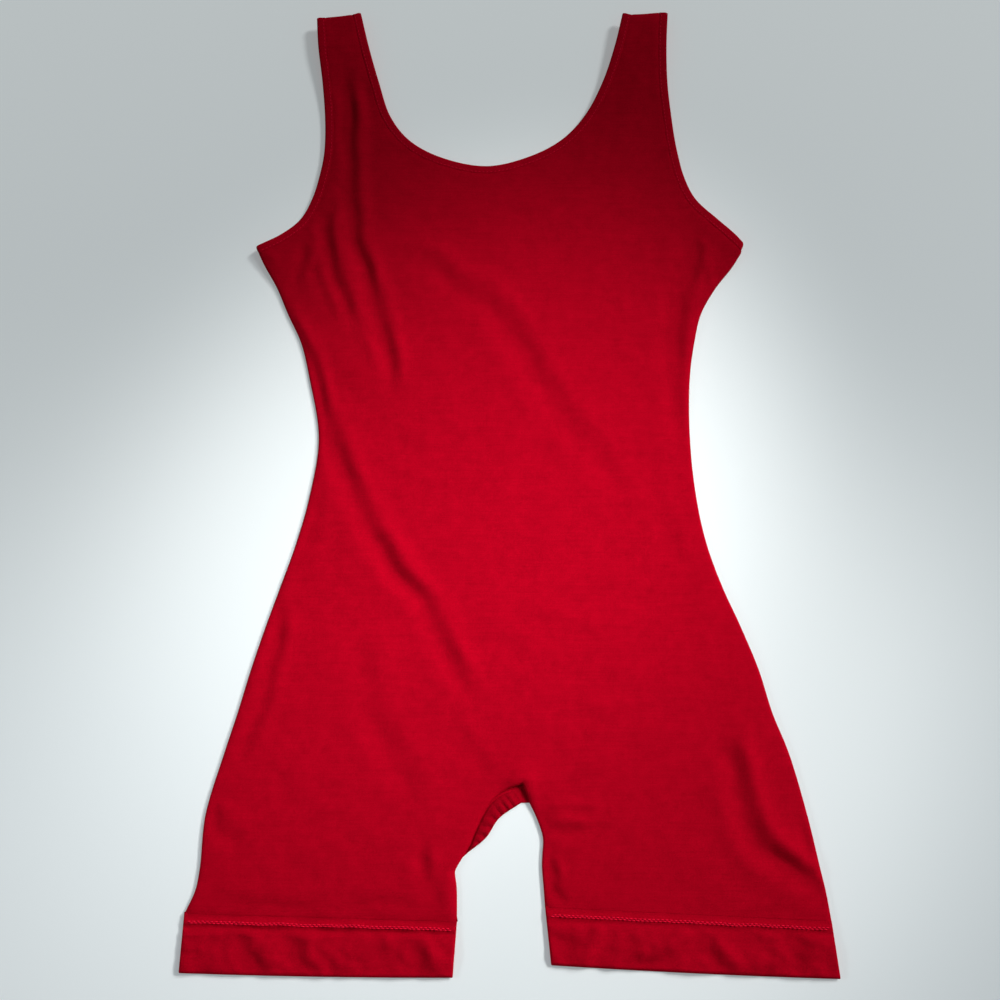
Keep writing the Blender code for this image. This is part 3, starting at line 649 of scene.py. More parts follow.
def thread_finish():
    """Polyester thread, a little brighter and smoother than the cloth, partly its own lighter dye and partly
    a painted highlight, with its twist as a fine bump.
    """
    finish = bpy.data.materials.new("red thread")
    finish.use_nodes = True
    tree = finish.node_tree
    shader = tree.nodes["Principled BSDF"]
    shader.inputs["Base Color"].default_value = THREAD_COLOUR_AND_HIGHLIGHT
    shader.inputs["Roughness"].default_value = 0.6
    shader.inputs["Specular IOR Level"].default_value = 0.1
    place = node(tree, "ShaderNodeTexCoord").outputs["Object"]
    twist_inputs = {"Vector": place, "Scale": TWIST_SCALE}
    twist = node(tree, "ShaderNodeTexWave", twist_inputs, bands_direction="DIAGONAL")
    bump_inputs = {"Height": twist.outputs["Fac"], "Strength": 0.3, "Distance": TWIST_DEPTH}
    relief = node(tree, "ShaderNodeBump", bump_inputs)
    tree.links.new(relief.outputs[0], shader.inputs["Normal"])
    return finish


thread = thread_finish()
print("thread ready")

# %% [markdown]
# ## Making a piece
#
# Every piece is one mesh whose points are already where the garment has them. It rides on the model's one
# body, stands for the solid that it replaces, and wears the finish that it is given. A cloth wall is made by
# a Solidify modifier that thickens the sheet under its outer face.

# %% From points to a piece
SAME_PLACE = 0.2           # points of an outline that are closer than this count as one


def add_piece(name, points, faces, finish, replaces=(), wall=None):
    """One mesh piece from points in millimetres, riding on the garment."""
    mesh = bpy.data.meshes.new(name)
    places = (np.array(points) - (*MIDDLE, 0.0)) * MM
    mesh.from_pydata(places.tolist(), [], [tuple(map(int, face)) for face in faces])
    mesh.shade_smooth()
    mesh.materials.append(finish)
    piece = bpy.data.objects.new(name, mesh)
    scene.collection.objects.link(piece)
    if wall:
        shell = piece.modifiers.new("Cloth wall", "SOLIDIFY")
        shell.thickness = wall * MM
        shell.offset = -1.0
    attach(piece, "root")
    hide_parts(*replaces)
    print(name, len(mesh.polygons), "faces")
    return piece


def inside(outline, points):
    """True where a point lies in the outline."""
    found = np.zeros(len(points), bool)
    for a, b in zip(outline, np.roll(outline, -1, axis=0)):
        crosses = (a[1] > points[:, 1]) != (b[1] > points[:, 1])
        rise = b[1] - a[1] if b[1] != a[1] else 1e-12
        found ^= crosses & (points[:, 0] < (b[0] - a[0]) * (points[:, 1] - a[1]) / rise + a[0])
    return found


def join_outline(stretches):
    """One closed outline from stretches laid end to end, without the doubled end points."""
    outline = []
    for stretch in stretches:
        for point in stretch:
            if not outline or np.linalg.norm(point - outline[-1]) > SAME_PLACE:
                outline.append(point)
    if np.linalg.norm(outline[0] - outline[-1]) <= SAME_PLACE:
        outline.pop()
    return np.array(outline)


print("each piece rides with the garment and stands for its solid")

# %% [markdown]
# ## The panels
#
# A panel is its outline filled with an even honeycomb of points, joined into triangles by a constrained
# Delaunay triangulation, which keeps the outline's edges. Even triangles matter here: long thin ones would
# show as streaks in soft creases. Three rows of points follow the outline closely, so that its rounded edge
# is smooth.

# %% Outline and filling of a panel
CLOTH_STEP = 2.5
RIM_INSETS = (0.35, 0.9, 1.7)
ROW_SHARE = math.sqrt(0.75)  # the rows of a honeycomb lie closer than the points in a row


def panel_outline(left_inner, right_inner):
    """The cut edge of a panel, anticlockwise."""
    left_outer = trim(left_side, INSIDE + TIP_EASE, 0.1, CLOTH_STEP)
    right_outer = trim(right_side, INSIDE + TIP_EASE, 0.1, CLOTH_STEP)
    left_inner = trim(left_inner, 0.0, 0.1, CLOTH_STEP)
    right_inner = trim(right_inner, 0.0, 0.1, CLOTH_STEP)
    return join_outline([
        right_outer[::-1],
        trim(arm_seam_right[::-1], 0, 0, CLOTH_STEP),
        trim(np.array([arm_seam_right[0], neck_seam[-1]]), 0, 0, CLOTH_STEP),
        trim(neck_seam[::-1], 0, 0, CLOTH_STEP),
        trim(np.array([neck_seam[0], arm_seam_left[0]]), 0, 0, CLOTH_STEP),
        trim(arm_seam_left, 0, 0, CLOTH_STEP),
        left_outer,
        trim(np.array([left_outer[-1], left_inner[-1]]), 0, 0, CLOTH_STEP),
        left_inner[::-1],
        right_inner,
        trim(np.array([right_inner[-1], right_outer[-1]]), 0, 0, CLOTH_STEP),
    ])


def fill_outline(outline, step):
    """Points and triangles of a flat panel, with rows of points close to its rim."""
    closed = np.vstack([outline, outline[:1]])
    inward = left_hand(np.vstack([outline[-1:], closed]))[1:-1]
    rims = [outline + inward * inset for inset in RIM_INSETS]
    low, high = outline.min(axis=0), outline.max(axis=0)
    comb = []
    for k, y in enumerate(np.arange(low[1], high[1], step * ROW_SHARE)):
        across = np.arange(low[0] + (k % 2) * step / 2, high[0], step)
        comb.append(np.column_stack([across, np.full(len(across), y)]))
    comb = np.concatenate(comb)
    comb = comb[inside(outline, comb)]
    comb = comb[np.abs(place_on(closed, comb)[0]) > RIM_INSETS[-1] + 0.45 * step]
    for k, rim in enumerate(rims):
        keep = inside(outline, rim) & (np.abs(place_on(closed, rim)[0]) > RIM_INSETS[k] * 0.8)
        rims[k] = rim[keep]
    points = np.concatenate([outline] + rims + [comb])
    made = delaunay_2d_cdt([Vector(p) for p in points], [], [list(range(len(outline)))], 1, 1e-6)
    return np.array([tuple(v) for v in made[0]]), made[2], closed


below_gusset = left_inseam[left_inseam[:, 1] < GUSSET_EDGE[-1][1] - 3.0]
left_front_inner = np.concatenate([gusset_edge, below_gusset])
right_front_inner = np.concatenate([[FRONT_CROTCH], right_inseam[1:]])
front_outline = panel_outline(left_front_inner, right_front_inner)
front_flat, front_faces, front_rim = fill_outline(front_outline, CLOTH_STEP)
print("front:", len(front_flat), "points")

# %% [markdown]
# ## Front panel
#
# The front lies on the back with a little air between, so it swells from its edges inwards by about a
# millimetre. At a side seam it turns down in a small round, as cloth does over a seam that was sewn and
# turned. At the casings it dips into the stitched line, a little deeper at each stitch, and the hems'
# stitches draw it down above them. Thick seams lift it at the crotch. Creases and a slight unevenness go on
# top, and a smooth floor keeps the deepest trough clear of the back.

# %% Height of the front
FRONT_EDGE_TOP = 3.3
FRONT_SWELL = 0.9
SWELL_REACH = 22.0
FRONT_FLOOR = 2.35
ROLL_DROP = 1.8            # how far the cloth turns down at a side seam
ROLL_REACH = 3.2           # and over what width
FRONT_WALL = 0.85
SEWN_DIP = 0.20
SEWN_BEAT = 0.35           # how much more at each stitch and less between, as a share
SEWN_REACH = 1.5
CASING_RISE = 0.45         # the casings hold the panel up beside them
CASING_REACH = 6.0
HEM_DIP = (1.3, 0.3)       # how far the hems' stitches draw the cloth down above them, left leg and right leg
HEM_DIP_PLACE = 3.0
HEM_DIP_REACH = 6.0
HEM_CALM = 9.0             # creases fade over this distance above a hem
CROTCH_LIFT = 3.6          # the thick seams at the crotch hold the cloth up, so that its edge throws a shadow
CROTCH_REACH = 11.0
CROTCH_ROLL = (1.4, 3.0)   # how much deeper and wider its edge turns down there
RELIEF_START = 5.0         # creases grow to their full height over this distance from the rim
STITCH_PITCH = 3.0
#   layer  scale  height
UNEVEN = ((11.0, 46.0, 0.70), (17.0, 19.0, 0.42), (23.0, 9.0, 0.20))


def rolled_lines(left_inner, right_inner):
    shoulders = [np.array([arm_seam_left[0], neck_seam[0]]), np.array([arm_seam_right[0], neck_seam[-1]])]
    return [left_side, right_side, left_inner, right_inner] + shoulders


def sewn_dip(points, lines):
    """How deep the cloth is drawn in beside its sewn lines, stitch by stitch."""
    dip = np.zeros(len(points))
    for line in lines:
        distance, fraction = place_on(line, points)
        length = np.linalg.norm(np.diff(line, axis=0), axis=1).sum()
        beat = 1.0 + SEWN_BEAT * np.cos(fraction * length * 2 * math.pi / STITCH_PITCH)
        dip = np.maximum(dip, SEWN_DIP * beat * bell(distance / SEWN_REACH))
    return dip


def by_leg(points, values):
    """The first value on the left leg and the second on the right."""
    return np.where(points[:, 0] < 0.0, *values)


def hem_dip(points, depth):
    """How far the cloth is drawn down near a hem's stitches, at a depth below the hem's upper edge."""
    pull = by_leg(points, HEM_DIP) * (0.8 + 1.1 * uneven(points * (1.0, 0.0), 30.0, 41.0))
    return pull * bell((depth - HEM_DIP_PLACE) / HEM_DIP_REACH)


def rolling(away):
    """Share of its whole drop that cloth has turned down, from 1 at an edge to 0 where it lies flat."""
    short = np.clip(1.0 - away, 0.0, 1.0)
    return 1.0 - np.sqrt(1.0 - short ** 2)


front_rolled = rolled_lines(left_front_inner, right_front_inner)
hem_lines = [np.array([row[1], row[2]]) for row in HEMS]
casing_lines = [arm_seam_left, arm_seam_right, neck_seam]


def front_height(points):
    edge = np.abs(place_on(front_rim, points)[0])
    top = FRONT_EDGE_TOP + FRONT_SWELL * (1.0 - np.exp(-edge / SWELL_REACH))
    relief = crease_height(points, CREASES) + crease_height(points, FINE_CREASES)
    for spot in NECK_DIMPLES:
        away = np.linalg.norm(points - np.array(spot), axis=1)
        relief -= DIMPLE_DEPTH * bell(away / DIMPLE_RADIUS)
    for layer, scale, height in UNEVEN:
        relief += height * uneven(points, scale, layer)
    above_hem = distance_to(hem_lines, points)
    top += relief * ease(edge / RELIEF_START) * ease(above_hem / HEM_CALM)
    top = soft_floor(top, FRONT_FLOOR) - sewn_dip(points, casing_lines) - hem_dip(points, -above_hem)
    top += CASING_RISE * bell(distance_to(casing_lines, points) / CASING_REACH)
    crotch = bell(np.linalg.norm(points - FRONT_CROTCH, axis=1) / CROTCH_REACH)
    drop, reach = ROLL_DROP + CROTCH_ROLL[0] * crotch, ROLL_REACH + CROTCH_ROLL[1] * crotch
    rolled = drop * rolling(distance_to(front_rolled, points) / reach)
    return rest_height(points) + top + CROTCH_LIFT * crotch - rolled


front_top = front_height(front_flat)
print("front lies between", round(front_top.min(), 2), "and", round(front_top.max(), 2), "mm")

# %% Front panel
ROLLED_FOOT = WALL + 0.1   # where a rolled edge ends, just above the back panel
SKIRT = 0.4                # how far any other edge is carried down


def with_skirt(flat, heights, faces, rolled, drop):
    """Points and faces of a panel whose rim is carried down: far at rolled edges, a little elsewhere."""
    sheet = bmesh.new()
    made = [sheet.verts.new((x, y, z)) for (x, y), z in zip(flat, heights)]
    for face in faces:
        sheet.faces.new([made[k] for k in face])
    rim = [edge for edge in sheet.edges if edge.is_boundary]
    made = bmesh.ops.extrude_edge_only(sheet, edges=rim)["geom"]
    lowered = [part for part in made if isinstance(part, bmesh.types.BMVert)]
    spots = np.array([tuple(vert.co.xy) for vert in lowered])
    for vert, distance, low in zip(lowered, distance_to(rolled, spots), rest_height(spots)):
        vert.co.z = low + drop if distance < 0.1 else vert.co.z - SKIRT
    bmesh.ops.recalc_face_normals(sheet, faces=sheet.faces)
    if sum(face.normal.z * face.calc_area() for face in sheet.faces) < 0:
        bmesh.ops.reverse_faces(sheet, faces=sheet.faces)
    sheet.verts.index_update()
    points = [tuple(vert.co) for vert in sheet.verts]
    found = [[vert.index for vert in face.verts] for face in sheet.faces]
    sheet.free()
    return points, found


points, faces = with_skirt(front_flat, front_top, front_faces, front_rolled, ROLLED_FOOT)
front = add_piece("front_panel", points, faces, cloth, ["front"], FRONT_WALL)

# %% [markdown]
# ## Back panel
#
# Only the edges of the back show, and its underside when the garment is picked up and turned. It has the same
# cut, without the crotch overhang. It lies flat on the table, so its creases are shallow dents pressed up
# from below, and they are placed one by one like the front's.

# %% Creases of the back
BACK_CREASES = (
    ("seat", 0.5, 0.0, 1, 7.0, ((120, 60), (86, -10), (50, -80), (20, -150), (-10, -190))),
    ("waist", 0.45, 0.0, 1, 6.0, ((-125, 20), (-70, 2), (-20, 0), (40, 10))),
    ("waist right", 0.4, 0.0, 1, 5.0, ((118, -10), (80, -4), (46, -12))),
    ("shoulder blade", 0.4, 0.0, 1, 8.0, ((84, 190), (40, 150), (-10, 120), (-50, 70))),
    ("left strap", 0.4, 0.0, 1, 5.0, ((-124, 250), (-118, 200), (-104, 140))),
    ("left leg", 0.5, 0.0, 1, 7.0, ((-60, -200), (-96, -240), (-140, -270), (-180, -280))),
    ("right leg", 0.45, 0.0, 1, 6.0, ((180, -200), (150, -240), (130, -290))),
    ("inner leg", 0.4, 0.0, 1, 4.5, ((40, -262), (60, -280), (70, -306))),
)
BACK_STEP = 4.0
BACK_EDGE = 0.35           # how far its cut edge is rounded, above
BACK_EDGE_REACH = 1.2
BACK_EDGE_UNDER = 1.6      # how much more it is rounded in thickness, as a share of that
DENT_LIMIT = 0.5
DENT_START = 8.0

back_outline = panel_outline(left_inseam, right_inseam)
back_flat, back_faces, back_rim = fill_outline(back_outline, BACK_STEP)
edge = np.abs(place_on(back_rim, back_flat)[0])
dents = -crease_height(back_flat, BACK_CREASES) * ease(edge / DENT_START)
dents = np.clip(dents, 0.0, DENT_LIMIT)
soft = BACK_EDGE * (1.0 - ease(edge / BACK_EDGE_REACH))
back_top = rest_height(back_flat) + WALL + dents - soft
print("back's dents reach", round(dents.max(), 2), "mm")

# %% Back panel


def closed_sheet(flat, top, low, faces):
    """Points and faces of a closed sheet with its own upper and lower heights."""
    count = len(flat)
    points = [(x, y, z) for (x, y), z in zip(flat, top)] + [(x, y, z) for (x, y), z in zip(flat, low)]
    seen = {}
    for face in faces:
        for a, b in zip(face, list(face[1:]) + [face[0]]):
            seen[(a, b)] = seen.get((a, b), 0) + 1
    rim = [(a, b) for (a, b) in seen if (b, a) not in seen]
    under = [[k + count for k in face][::-1] for face in faces]
    sides = [(b, a, a + count, b + count) for a, b in rim]
    return points, [list(face) for face in faces] + under + sides


points, faces = closed_sheet(back_flat, back_top, back_top - WALL + BACK_EDGE_UNDER * soft, back_faces)
back = add_piece("back_panel", points, faces, cloth, ["back"])

# %% [markdown]
# ## Gusset
#
# A gusset is a small piece let into the crotch so that the legs can spread. Here its edge shows beside the
# left leg as a gathered strip: the front was sewn to it under tension, and when the cloth let go it drew up
# into small puffs with tight pleats between. Each puff is one beat of a sine along the strip, rounded
# across it.

# %% Gathered strip
GUSSET_START = 1.5
GUSSET_END = 11.0
GATHERS = 9
GATHER_FACES = 12
GUSSET_FACES = 10
GUSSET_LOW = 1.3
GUSSET_RIM = 1.9
GUSSET_PUFF = 1.35
GUSSET_CLEAR = 1.1         # the dark groove beside the front's edge
GUSSET_OPEN = 1.6          # how much wider the groove is at the crotch
GUSSET_OPEN_SHARE = 0.4
GUSSET_CALM = 0.16         # share of the strip over which it sinks towards the crotch
PUFF_LOW = 0.65            # height between two puffs, as a share
PUFF_LEAN = 0.25           # how far a puff leans along the strip, in puffs
PUFF_ROUND = 0.8

upper = trim(gusset_edge, GUSSET_START, GUSSET_END, 0.4)
strip = []
for k in range(GATHERS * GATHER_FACES + 1):
    share = k / (GATHERS * GATHER_FACES)
    a = upper[round(share * (len(upper) - 1))]
    b = left_inseam[np.argmin(np.linalg.norm(left_inseam - a, axis=1))]
    across = (b - a) / np.linalg.norm(b - a)
    groove = GUSSET_CLEAR + GUSSET_OPEN * (1.0 - ease(share / GUSSET_OPEN_SHARE))
    start, end = a + across * groove, b - across * SEAM_GAP
    row = []
    for j in range(GUSSET_FACES + 1):
        u = j / GUSSET_FACES
        drift = 0.5 * noise.noise(Vector((share * 4.0, u, 9.0)))
        beat = abs(math.sin(math.pi * (share * GATHERS + PUFF_LEAN * u + drift)))
        size = 1.0 + 0.5 * noise.noise(Vector((share * GATHERS * 0.7, u, 7.0)))
        profile = math.sin(math.pi * (0.02 + 0.88 * u)) ** PUFF_ROUND
        puff = GUSSET_PUFF * size * (PUFF_LOW + (1.0 - PUFF_LOW) * beat) * profile
        x, y = start + (end - start) * u
        row.append((x, y, GUSSET_RIM - 0.3 + puff * (0.2 + 0.8 * ease(share / GUSSET_CALM))))
    strip.append(row)
strip = np.array(strip)
print("gusset strip", GATHERS, "puffs, top", round(strip[:, :, 2].max(), 2), "mm")

# %% Gusset


def closed_grid(top, low):
    """Points and faces of a closed body under a grid of points, with a flat underside."""
    rows, columns, _ = top.shape
    flat = top[:, :, :2].reshape(-1, 2)
    faces = []
    for r in range(rows - 1):
        for c in range(columns - 1):
            k = r * columns + c
            faces.append((k, k + columns, k + columns + 1, k + 1))
    return closed_sheet(flat, top[:, :, 2].ravel(), np.full(len(flat), low), faces)


points, faces = closed_grid(strip, GUSSET_LOW)
# The strip wears the darker finish, which is painted shade.
gusset = add_piece("gusset_gathers", points, faces, shaded_gathers_cloth, ["gusset"])
print("a groove of", GUSSET_CLEAR, "mm parts the strip from the front's edge")

# %% [markdown]
# ## Neck and armhole casings
#
# The raw edges are turned over narrow elastic and stitched. The casing is a flat tube that runs along the
# front, turns over at the shoulder or the underarm tip, and comes back along the back, so it is one closed
# ring. It is lofted: the same rounded section is set square to the line every 1.5 millimetres. The elastic
# draws the cloth up a little, so the section swells and sinks softly from stitch to stitch.

# %% Section of a casing
SECTION_POINTS = 18
CROWN = 0.25
STITCH_LINE = 1.5          # how far the stitches lie from the casing's inner edge
STITCH_SINK = 0.16
STITCH_SINK_REACH = 0.6
INNER_CORNER, OUTER_CORNER = 0.3, 0.6  # 1 is a round corner and 0 a square one


def casing_section(beat):
    """Points round a flat rounded tube, u from the finished edge inwards and v outwards from its middle."""
    section = []
    for k in range(SECTION_POINTS):
        angle = 2 * math.pi * k / SECTION_POINTS
        c, s = math.cos(angle), math.sin(angle)
        square = INNER_CORNER if c > 0 else OUTER_CORNER
        u = CASING_WIDTH / 2 * (1 + math.copysign(abs(c) ** square, c))
        v = CASING_THICK / 2 * math.copysign(abs(s) ** square, s)
        if v > 0:
            middle = 1 - (2 * u / CASING_WIDTH - 1) ** 2
            sink = STITCH_SINK * bell((u - CASING_WIDTH + STITCH_LINE) / STITCH_SINK_REACH)
            v += CROWN * middle * (1 + beat) - sink * (1 + beat)
        section.append((u, v))
    return section


print("section of", SECTION_POINTS, "points")

# %% Ring of casing
CASING_STEP = 1.5
CASING_BEAT = 0.9          # how unevenly the elastic swells
BEAT_LENGTH = 3.1
BENDS = 9


def casing_stations(line, inward, side):
    """Places round a ring: along the front, over one end, along the back and over the other end."""
    turn = (SEAM_GAP + CASING_THICK) / 2
    route = trim(line, turn + CASING_THICK / 2, turn + CASING_THICK / 2, CASING_STEP)
    across = inwards(route, inward, side)
    ground = rest_height(route) + CASING_THICK / 2 + turn
    bends = [math.pi * k / BENDS for k in range(1, BENDS)]
    stations = [(*p, z + turn, *a, 0.0, 0.0, 1.0) for p, z, a in zip(route, ground, across)]
    for end, before, order in ((-1, -2, 1), (0, 1, -1)):
        ahead = route[end] - route[before]
        ahead = ahead / np.linalg.norm(ahead)
        for bend in bends:
            lean = math.cos(bend) * order
            x, y = route[end] + ahead * turn * math.sin(bend)
            out = (ahead[0] * math.sin(bend), ahead[1] * math.sin(bend), lean)
            stations.append((x, y, ground[end] + turn * lean, *across[end], *out))
        if end == -1:
            back = zip(route[::-1], ground[::-1], across[::-1])
            stations += [(*p, z - turn, *a, 0.0, 0.0, -1.0) for p, z, a in back]
    return stations, len(route)


def tube_faces(rings, size, closed, turned):
    """Faces of a tube of rings with equally many points. A closed one joins its last ring to its first."""
    faces = []
    for k in range(rings if closed else rings - 1):
        near, far = k * size, (k + 1) % rings * size
        for i in range(size):
            j = (i + 1) % size
            face = (near + i, near + j, far + j, far + i)
            faces.append(face[::-1] if turned else face)
    return faces


def add_casing(name, line, inward, replaces, side=None):
    stations, front_count = casing_stations(line, inward, side)
    points = []
    for k, (x, y, z, ax, ay, ox, oy, oz) in enumerate(stations):
        beat = CASING_BEAT * noise.noise(Vector((k * CASING_STEP / BEAT_LENGTH, len(name), 0.0)))
        low = rest_height(np.array([(x, y)]))[0]
        for u, v in casing_section(beat):
            points.append((x + u * ax + v * ox, y + u * ay + v * oy, max(z + v * oz, low)))
    faces = tube_faces(len(stations), SECTION_POINTS, closed=True, turned=inward < 0)
    piece = add_piece(name, points, faces, turned_cloth, [replaces])
    return piece, stations[:front_count]


neck_casing, neck_stations = add_casing("neck_casing", neck, -1, "neck_edge")
arm_casing_left, arm_left_stations = add_casing("arm_casing_left", left_arm, 1, "arm_edge_left", left_side)
arm_casing_right, arm_right_stations = add_casing(
    "arm_casing_right", right_arm, -1, "arm_edge_right", right_side)

# %% [markdown]
# ## Leg hems
#
# Each leg ends in a hem of doubled cloth, turned up inside and sewn with a twin needle 32 mm above its
# fold. Two rows of stitches draw the cloth between them into a low ridge, with a groove below it. The hem
# is a flattened tube: its section round the leg is two flat layers joined by tight rounds, and its section
# down the leg is a folded strip. Both are put together point by point, so that the fold at the foot is
# really round. It rolls down there and overhangs the hem's back a little, which draws a fine dark line
# under the cloth.

# %% Creases of the hems
HEM_CREASES = (
    ("left a", 0.9, 1.1, 1, 6.0, ((-178, -328), (-170, -345), (-160, -360))),
    ("left b", 1.0, 1.3, 1, 6.0, ((-150, -326), (-140, -340), (-136, -358))),
    ("left c", 1.0, 1.3, 1, 5.0, ((-128, -336), (-116, -350), (-106, -362))),
    ("left d", 0.9, 1.0, 1, 4.5, ((-90, -356), (-82, -344), (-74, -328))),
    ("left e", 1.0, 1.3, 1, 5.5, ((-72, -326), (-60, -342), (-52, -362))),
    ("right a", 1.0, 1.3, 1, 4.5, ((52, -358), (60, -342), (68, -326))),
    ("right b", 1.1, 1.5, 1, 6.0, ((80, -354), (100, -350), (116, -341), (130, -330))),
    ("right c", 1.0, 1.3, 1, 5.0, ((132, -328), (140, -344), (152, -362))),
    ("right d", 0.9, 1.1, 1, 6.0, ((188, -328), (198, -344), (200, -362))),
    ("right e", 0.8, 0.9, 1, 6.0, ((164, -360), (178, -352), (190, -340))),
    ("right f", 0.7, 0.9, 1, 6.0, ((38, -326), (46, -342), (44, -356))),
)
RIDGE_PLACE = 5.0          # from the hem's upper edge down to the ridge between the two rows of stitches
NEEDLE_GAP = 0.55          # from the ridge to each row
RIDGE_DRIFT = 0.6          # how far the sewn ridge strays from a straight line
RIDGE_HEIGHT = (1.5, 1.1)  # left leg and right leg
RIDGE_REACH = 2.0
GROOVE_PLACE = 8.8
GROOVE_DEPTH = (0.7, 0.2)
GROOVE_REACH = 1.8
LEVEL_START, LEVEL_REACH = 6.0, 9.0  # below the ridge the hem rises from the panel's height to its own
HEM_TONGUE = 1.6           # how far the inner layer reaches up behind the panel's edge
TONGUE_THICK = 0.35
OUTER_ROWS, FOLD_ROWS, INNER_ROWS = 28, 4, 8
HEM_CALM_START, HEM_CALM_REACH = 2.0, 6.0  # the stretch below the ridge over which creases grow
FOLD_DROP = 2.0            # the cloth rolls down over the last stretch before the fold at the foot
FOLD_REACH = 2.2
HEM_FLOOR = -0.75          # how far a crease may press in the hem's upper side
HEM_FILL = 0.35            # how far the doubled cloth swells above its plain form
BACK_SHORT = 0.035         # share by which the hem's back is shorter than its front
#   layer  scale  height
HEM_UNEVEN = ((29.0, 15.0, 1.7), (37.0, 7.0, 1.0))
print(len(HEM_CREASES), "creases on the hems")

# %% Relief of a hem


def ridge_drift(points):
    """How far down its leg the sewn ridge strays."""
    return RIDGE_DRIFT * uneven(points * (1.0, 0.0), 16.0, 47.0)


def hem_relief(points, depth):
    """Height of a hem's upper face above its plain form, from the stitched ridge to the fold."""
    swell = 1.0 + 0.8 * uneven(points * (1.0, 0.0), 9.0, 43.0)
    below = depth - RIDGE_PLACE - ridge_drift(points)
    ridge = by_leg(points, RIDGE_HEIGHT) * swell * bell(below / RIDGE_REACH)
    deepest = by_leg(points, GROOVE_DEPTH) * (1.0 + 1.2 * uneven(points, 14.0, 31.0))
    groove = deepest * bell((depth - GROOVE_PLACE) / GROOVE_REACH)
    calm = ease((depth - RIDGE_PLACE - HEM_CALM_START) / HEM_CALM_REACH)
    fold = FOLD_DROP * rolling((HEM_DEEP - depth) / FOLD_REACH)
    level = (FRONT_EDGE_TOP - HEM_TOP) * (1.0 - ease((depth - LEVEL_START) / LEVEL_REACH))
    plain = level - hem_dip(points, depth) - fold
    relief = crease_height(points, HEM_CREASES)
    for layer, scale, height in HEM_UNEVEN:
        relief += height * uneven(points, scale, layer)
    return plain + ridge - groove + calm * soft_floor(relief + HEM_FILL, HEM_FLOOR)


def hem_span(corners, depth):
    """Both ends of a hem's width at a depth below its upper edge, and how deep the whole hem is."""
    outer_top, inner_top, outer_bottom, inner_bottom = (np.array(c) for c in corners)
    down = (outer_bottom + inner_bottom - outer_top - inner_top) / 2
    deep = np.linalg.norm(down)
    outer = outer_top + (outer_bottom - outer_top) * depth / deep
    return outer, inner_top + (inner_bottom - inner_top) * depth / deep, down, deep


def hem_ring(width):
    """Places round a flattened leg opening: how far in, how high, and which way is out."""
    radius = HEM_TOP / 2
    count = round((width - 2 * radius) / CLOTH_STEP)
    spans = np.linspace(radius, width - radius, count + 1)
    turns = [(math.sin(math.pi * k / 8), math.cos(math.pi * k / 8)) for k in range(1, 8)]
    ring = [(inset, HEM_TOP, 0.0, 1.0) for inset in spans]
    ring += [(width - radius + radius * out, radius + radius * up, out, up) for out, up in turns]
    ring += [(inset, 0.0, 0.0, -1.0) for inset in spans[::-2]]
    ring += [(radius - radius * out, radius - radius * up, -out, -up) for out, up in turns]
    return ring


def hem_profile(deep):
    """Places down the folded strip: how deep, and how far under the outer face. It closes on itself."""
    fold = HEM_WALL / 2
    even = deep - fold - FOLD_REACH
    outer = [(0.0, 0.0), (0.15, 0.0)] + [(even * k / OUTER_ROWS, 0.0) for k in range(1, OUTER_ROWS + 1)]
    outer += [(even + FOLD_REACH * k / FOLD_ROWS, 0.0) for k in range(1, FOLD_ROWS + 1)]
    turns = [(math.sin(math.pi * k / 6), math.cos(math.pi * k / 6)) for k in range(1, 6)]
    bend = [(deep - fold + fold * out, fold - fold * up) for out, up in turns]
    inner = [(0.25 + (deep - fold - 0.25) * k / INNER_ROWS, HEM_WALL) for k in range(INNER_ROWS, -1, -1)]
    tongue = [(-HEM_TONGUE, HEM_WALL), (-HEM_TONGUE, HEM_WALL - TONGUE_THICK)]
    return outer + bend + inner + tongue


print("hem ridges", RIDGE_HEIGHT, "mm high")

# %% Leg hems


def add_hem(leg, corners):
    start, end, _, deep = hem_span(corners, 0.0)
    profile = hem_profile(deep)
    width = np.linalg.norm(end - start)
    ring = hem_ring(width)
    flat, heights, depths, upward = [], [], [], []
    for inset, z, out, up in ring:
        for reach, under in profile:
            depth = reach * (1.0 - BACK_SHORT * max(0.0, -up))
            start, end, *_ = hem_span(corners, depth)
            across = (end - start) / width
            share = inset / width
            sag = 4.0 * HEM_SAG * depth / deep * share * (1.0 - share)
            flat.append(start + across * (inset - out * under) - (0.0, sag))
            heights.append(z - up * under)
            depths.append(depth)
            upward.append(max(0.0, up))
    flat = np.array(flat)
    relief = hem_relief(flat, np.array(depths))
    heights = np.maximum(np.array(heights) + relief * np.array(upward) ** 2, 0.0)
    faces = tube_faces(len(ring), len(profile), closed=True, turned=leg == "right")
    points = np.column_stack([flat, heights])
    return add_piece(f"hem_{leg}_turned", points, faces, turned_cloth, [f"hem_{leg}"])


hems = [add_hem(leg, corners) for leg, *corners in HEMS]

# %% [markdown]
# ## Stitches
#
# A stitch is a short length of thread that comes out of the cloth, lies on it and goes in again. Each one
# is a small six-sided tube whose middle stands proud and whose ends are sunk in. They are laid row by row:
# two rows on each hem, and one along the inner edge of every casing. A hem's second row is half a stitch
# behind its first, so that from afar the two read as one light line.

# %% One row of stitches
HEM_THREAD = 0.45          # radius of the hems' woolly thread, which lies in beads beside each other
CASING_THREAD = 0.22
STITCH_LENGTH = 2.7
STITCH_SIDES = 6
STITCH_PARTS = 4
STITCH_INSET = 2.2         # how far a hem's rows end from its sides
STITCH_LIFT = 0.15         # how far they lie over the ridge


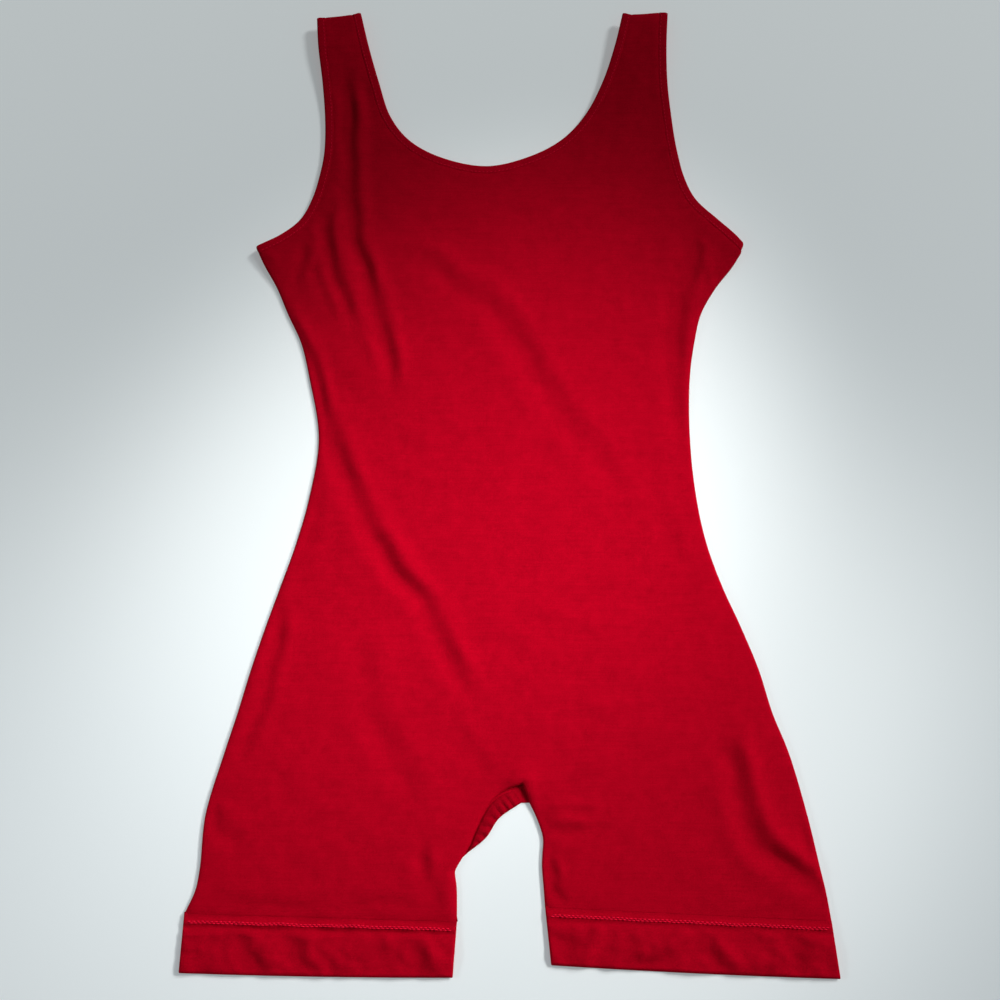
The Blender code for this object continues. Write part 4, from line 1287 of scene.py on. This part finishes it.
def stitch_row(line, thick, shift):
    """Points and faces of the stitches along a line of points in space, the first one shifted."""
    points, faces = [], []
    shape = tube_faces(STITCH_PARTS + 1, STITCH_SIDES, closed=False, turned=False)
    shape.append(tuple(range(STITCH_SIDES))[::-1])
    shape.append(tuple(STITCH_PARTS * STITCH_SIDES + i for i in range(STITCH_SIDES)))
    along = np.concatenate([[0.0], np.cumsum(np.linalg.norm(np.diff(line, axis=0), axis=1))])
    for start in np.arange(0.5 + shift, along[-1] - STITCH_LENGTH, STITCH_PITCH):
        spots = [start + STITCH_LENGTH * k / STITCH_PARTS for k in range(STITCH_PARTS + 1)]
        path = np.array([[np.interp(s, along, line[:, axis]) for axis in range(3)] for s in spots])
        ahead = path[-1] - path[0]
        ahead = ahead / np.linalg.norm(ahead)
        side = np.cross(ahead, (0.0, 0.0, 1.0))
        side = side / np.linalg.norm(side)
        up = np.cross(side, ahead)
        faces += [tuple(len(points) + i for i in face) for face in shape]
        for k, spot in enumerate(path):
            swell = math.sin(math.pi * k / STITCH_PARTS)
            centre = spot + up * thick * (1.6 * swell - 1.0)
            radius = thick * (0.55 + 0.45 * swell)
            for i in range(STITCH_SIDES):
                angle = 2 * math.pi * i / STITCH_SIDES
                points.append(centre + radius * (side * math.cos(angle) + up * math.sin(angle)))
    return points, faces


def add_stitches(name, lines, thick):
    points, faces = [], []
    for number, line in enumerate(lines):
        more, shapes = stitch_row(line, thick, number * STITCH_PITCH / 2)
        faces += [tuple(k + len(points) for k in face) for face in shapes]
        points += more
    return add_piece(name, points, faces, thread)


print("stitch", STITCH_LENGTH, "mm, every", STITCH_PITCH, "mm")

# %% Stitches of hems and casings


def hem_stitch_lines(corners):
    lines = []
    for side in (-1, 1):
        depth = RIDGE_PLACE + side * NEEDLE_GAP
        start, end, down, deep = hem_span(corners, depth)
        flat = trim(np.array([start, end]), STITCH_INSET, STITCH_INSET, 1.0)
        drift = ridge_drift(flat)
        flat = flat + down / deep * drift[:, None]
        top = HEM_TOP + hem_relief(flat, depth + drift)
        lines.append(np.column_stack([flat, top + STITCH_LIFT]))
    return lines


def casing_stitch_line(stations):
    """Just over the casing's groove, along the front."""
    line = []
    for x, y, z, ax, ay, *_ in stations:
        u = CASING_WIDTH - STITCH_LINE
        line.append((x + u * ax, y + u * ay, z + CASING_THICK / 2 * 0.9))
    return np.array(line)


for leg, *corners in HEMS:
    add_stitches(f"hem_stitches_{leg}", hem_stitch_lines(corners), HEM_THREAD)
for name, stations in (
    ("neck_stitches", neck_stations),
    ("arm_stitches_left", arm_left_stations),
    ("arm_stitches_right", arm_right_stations),
):
    add_stitches(name, [casing_stitch_line(stations)], CASING_THREAD)
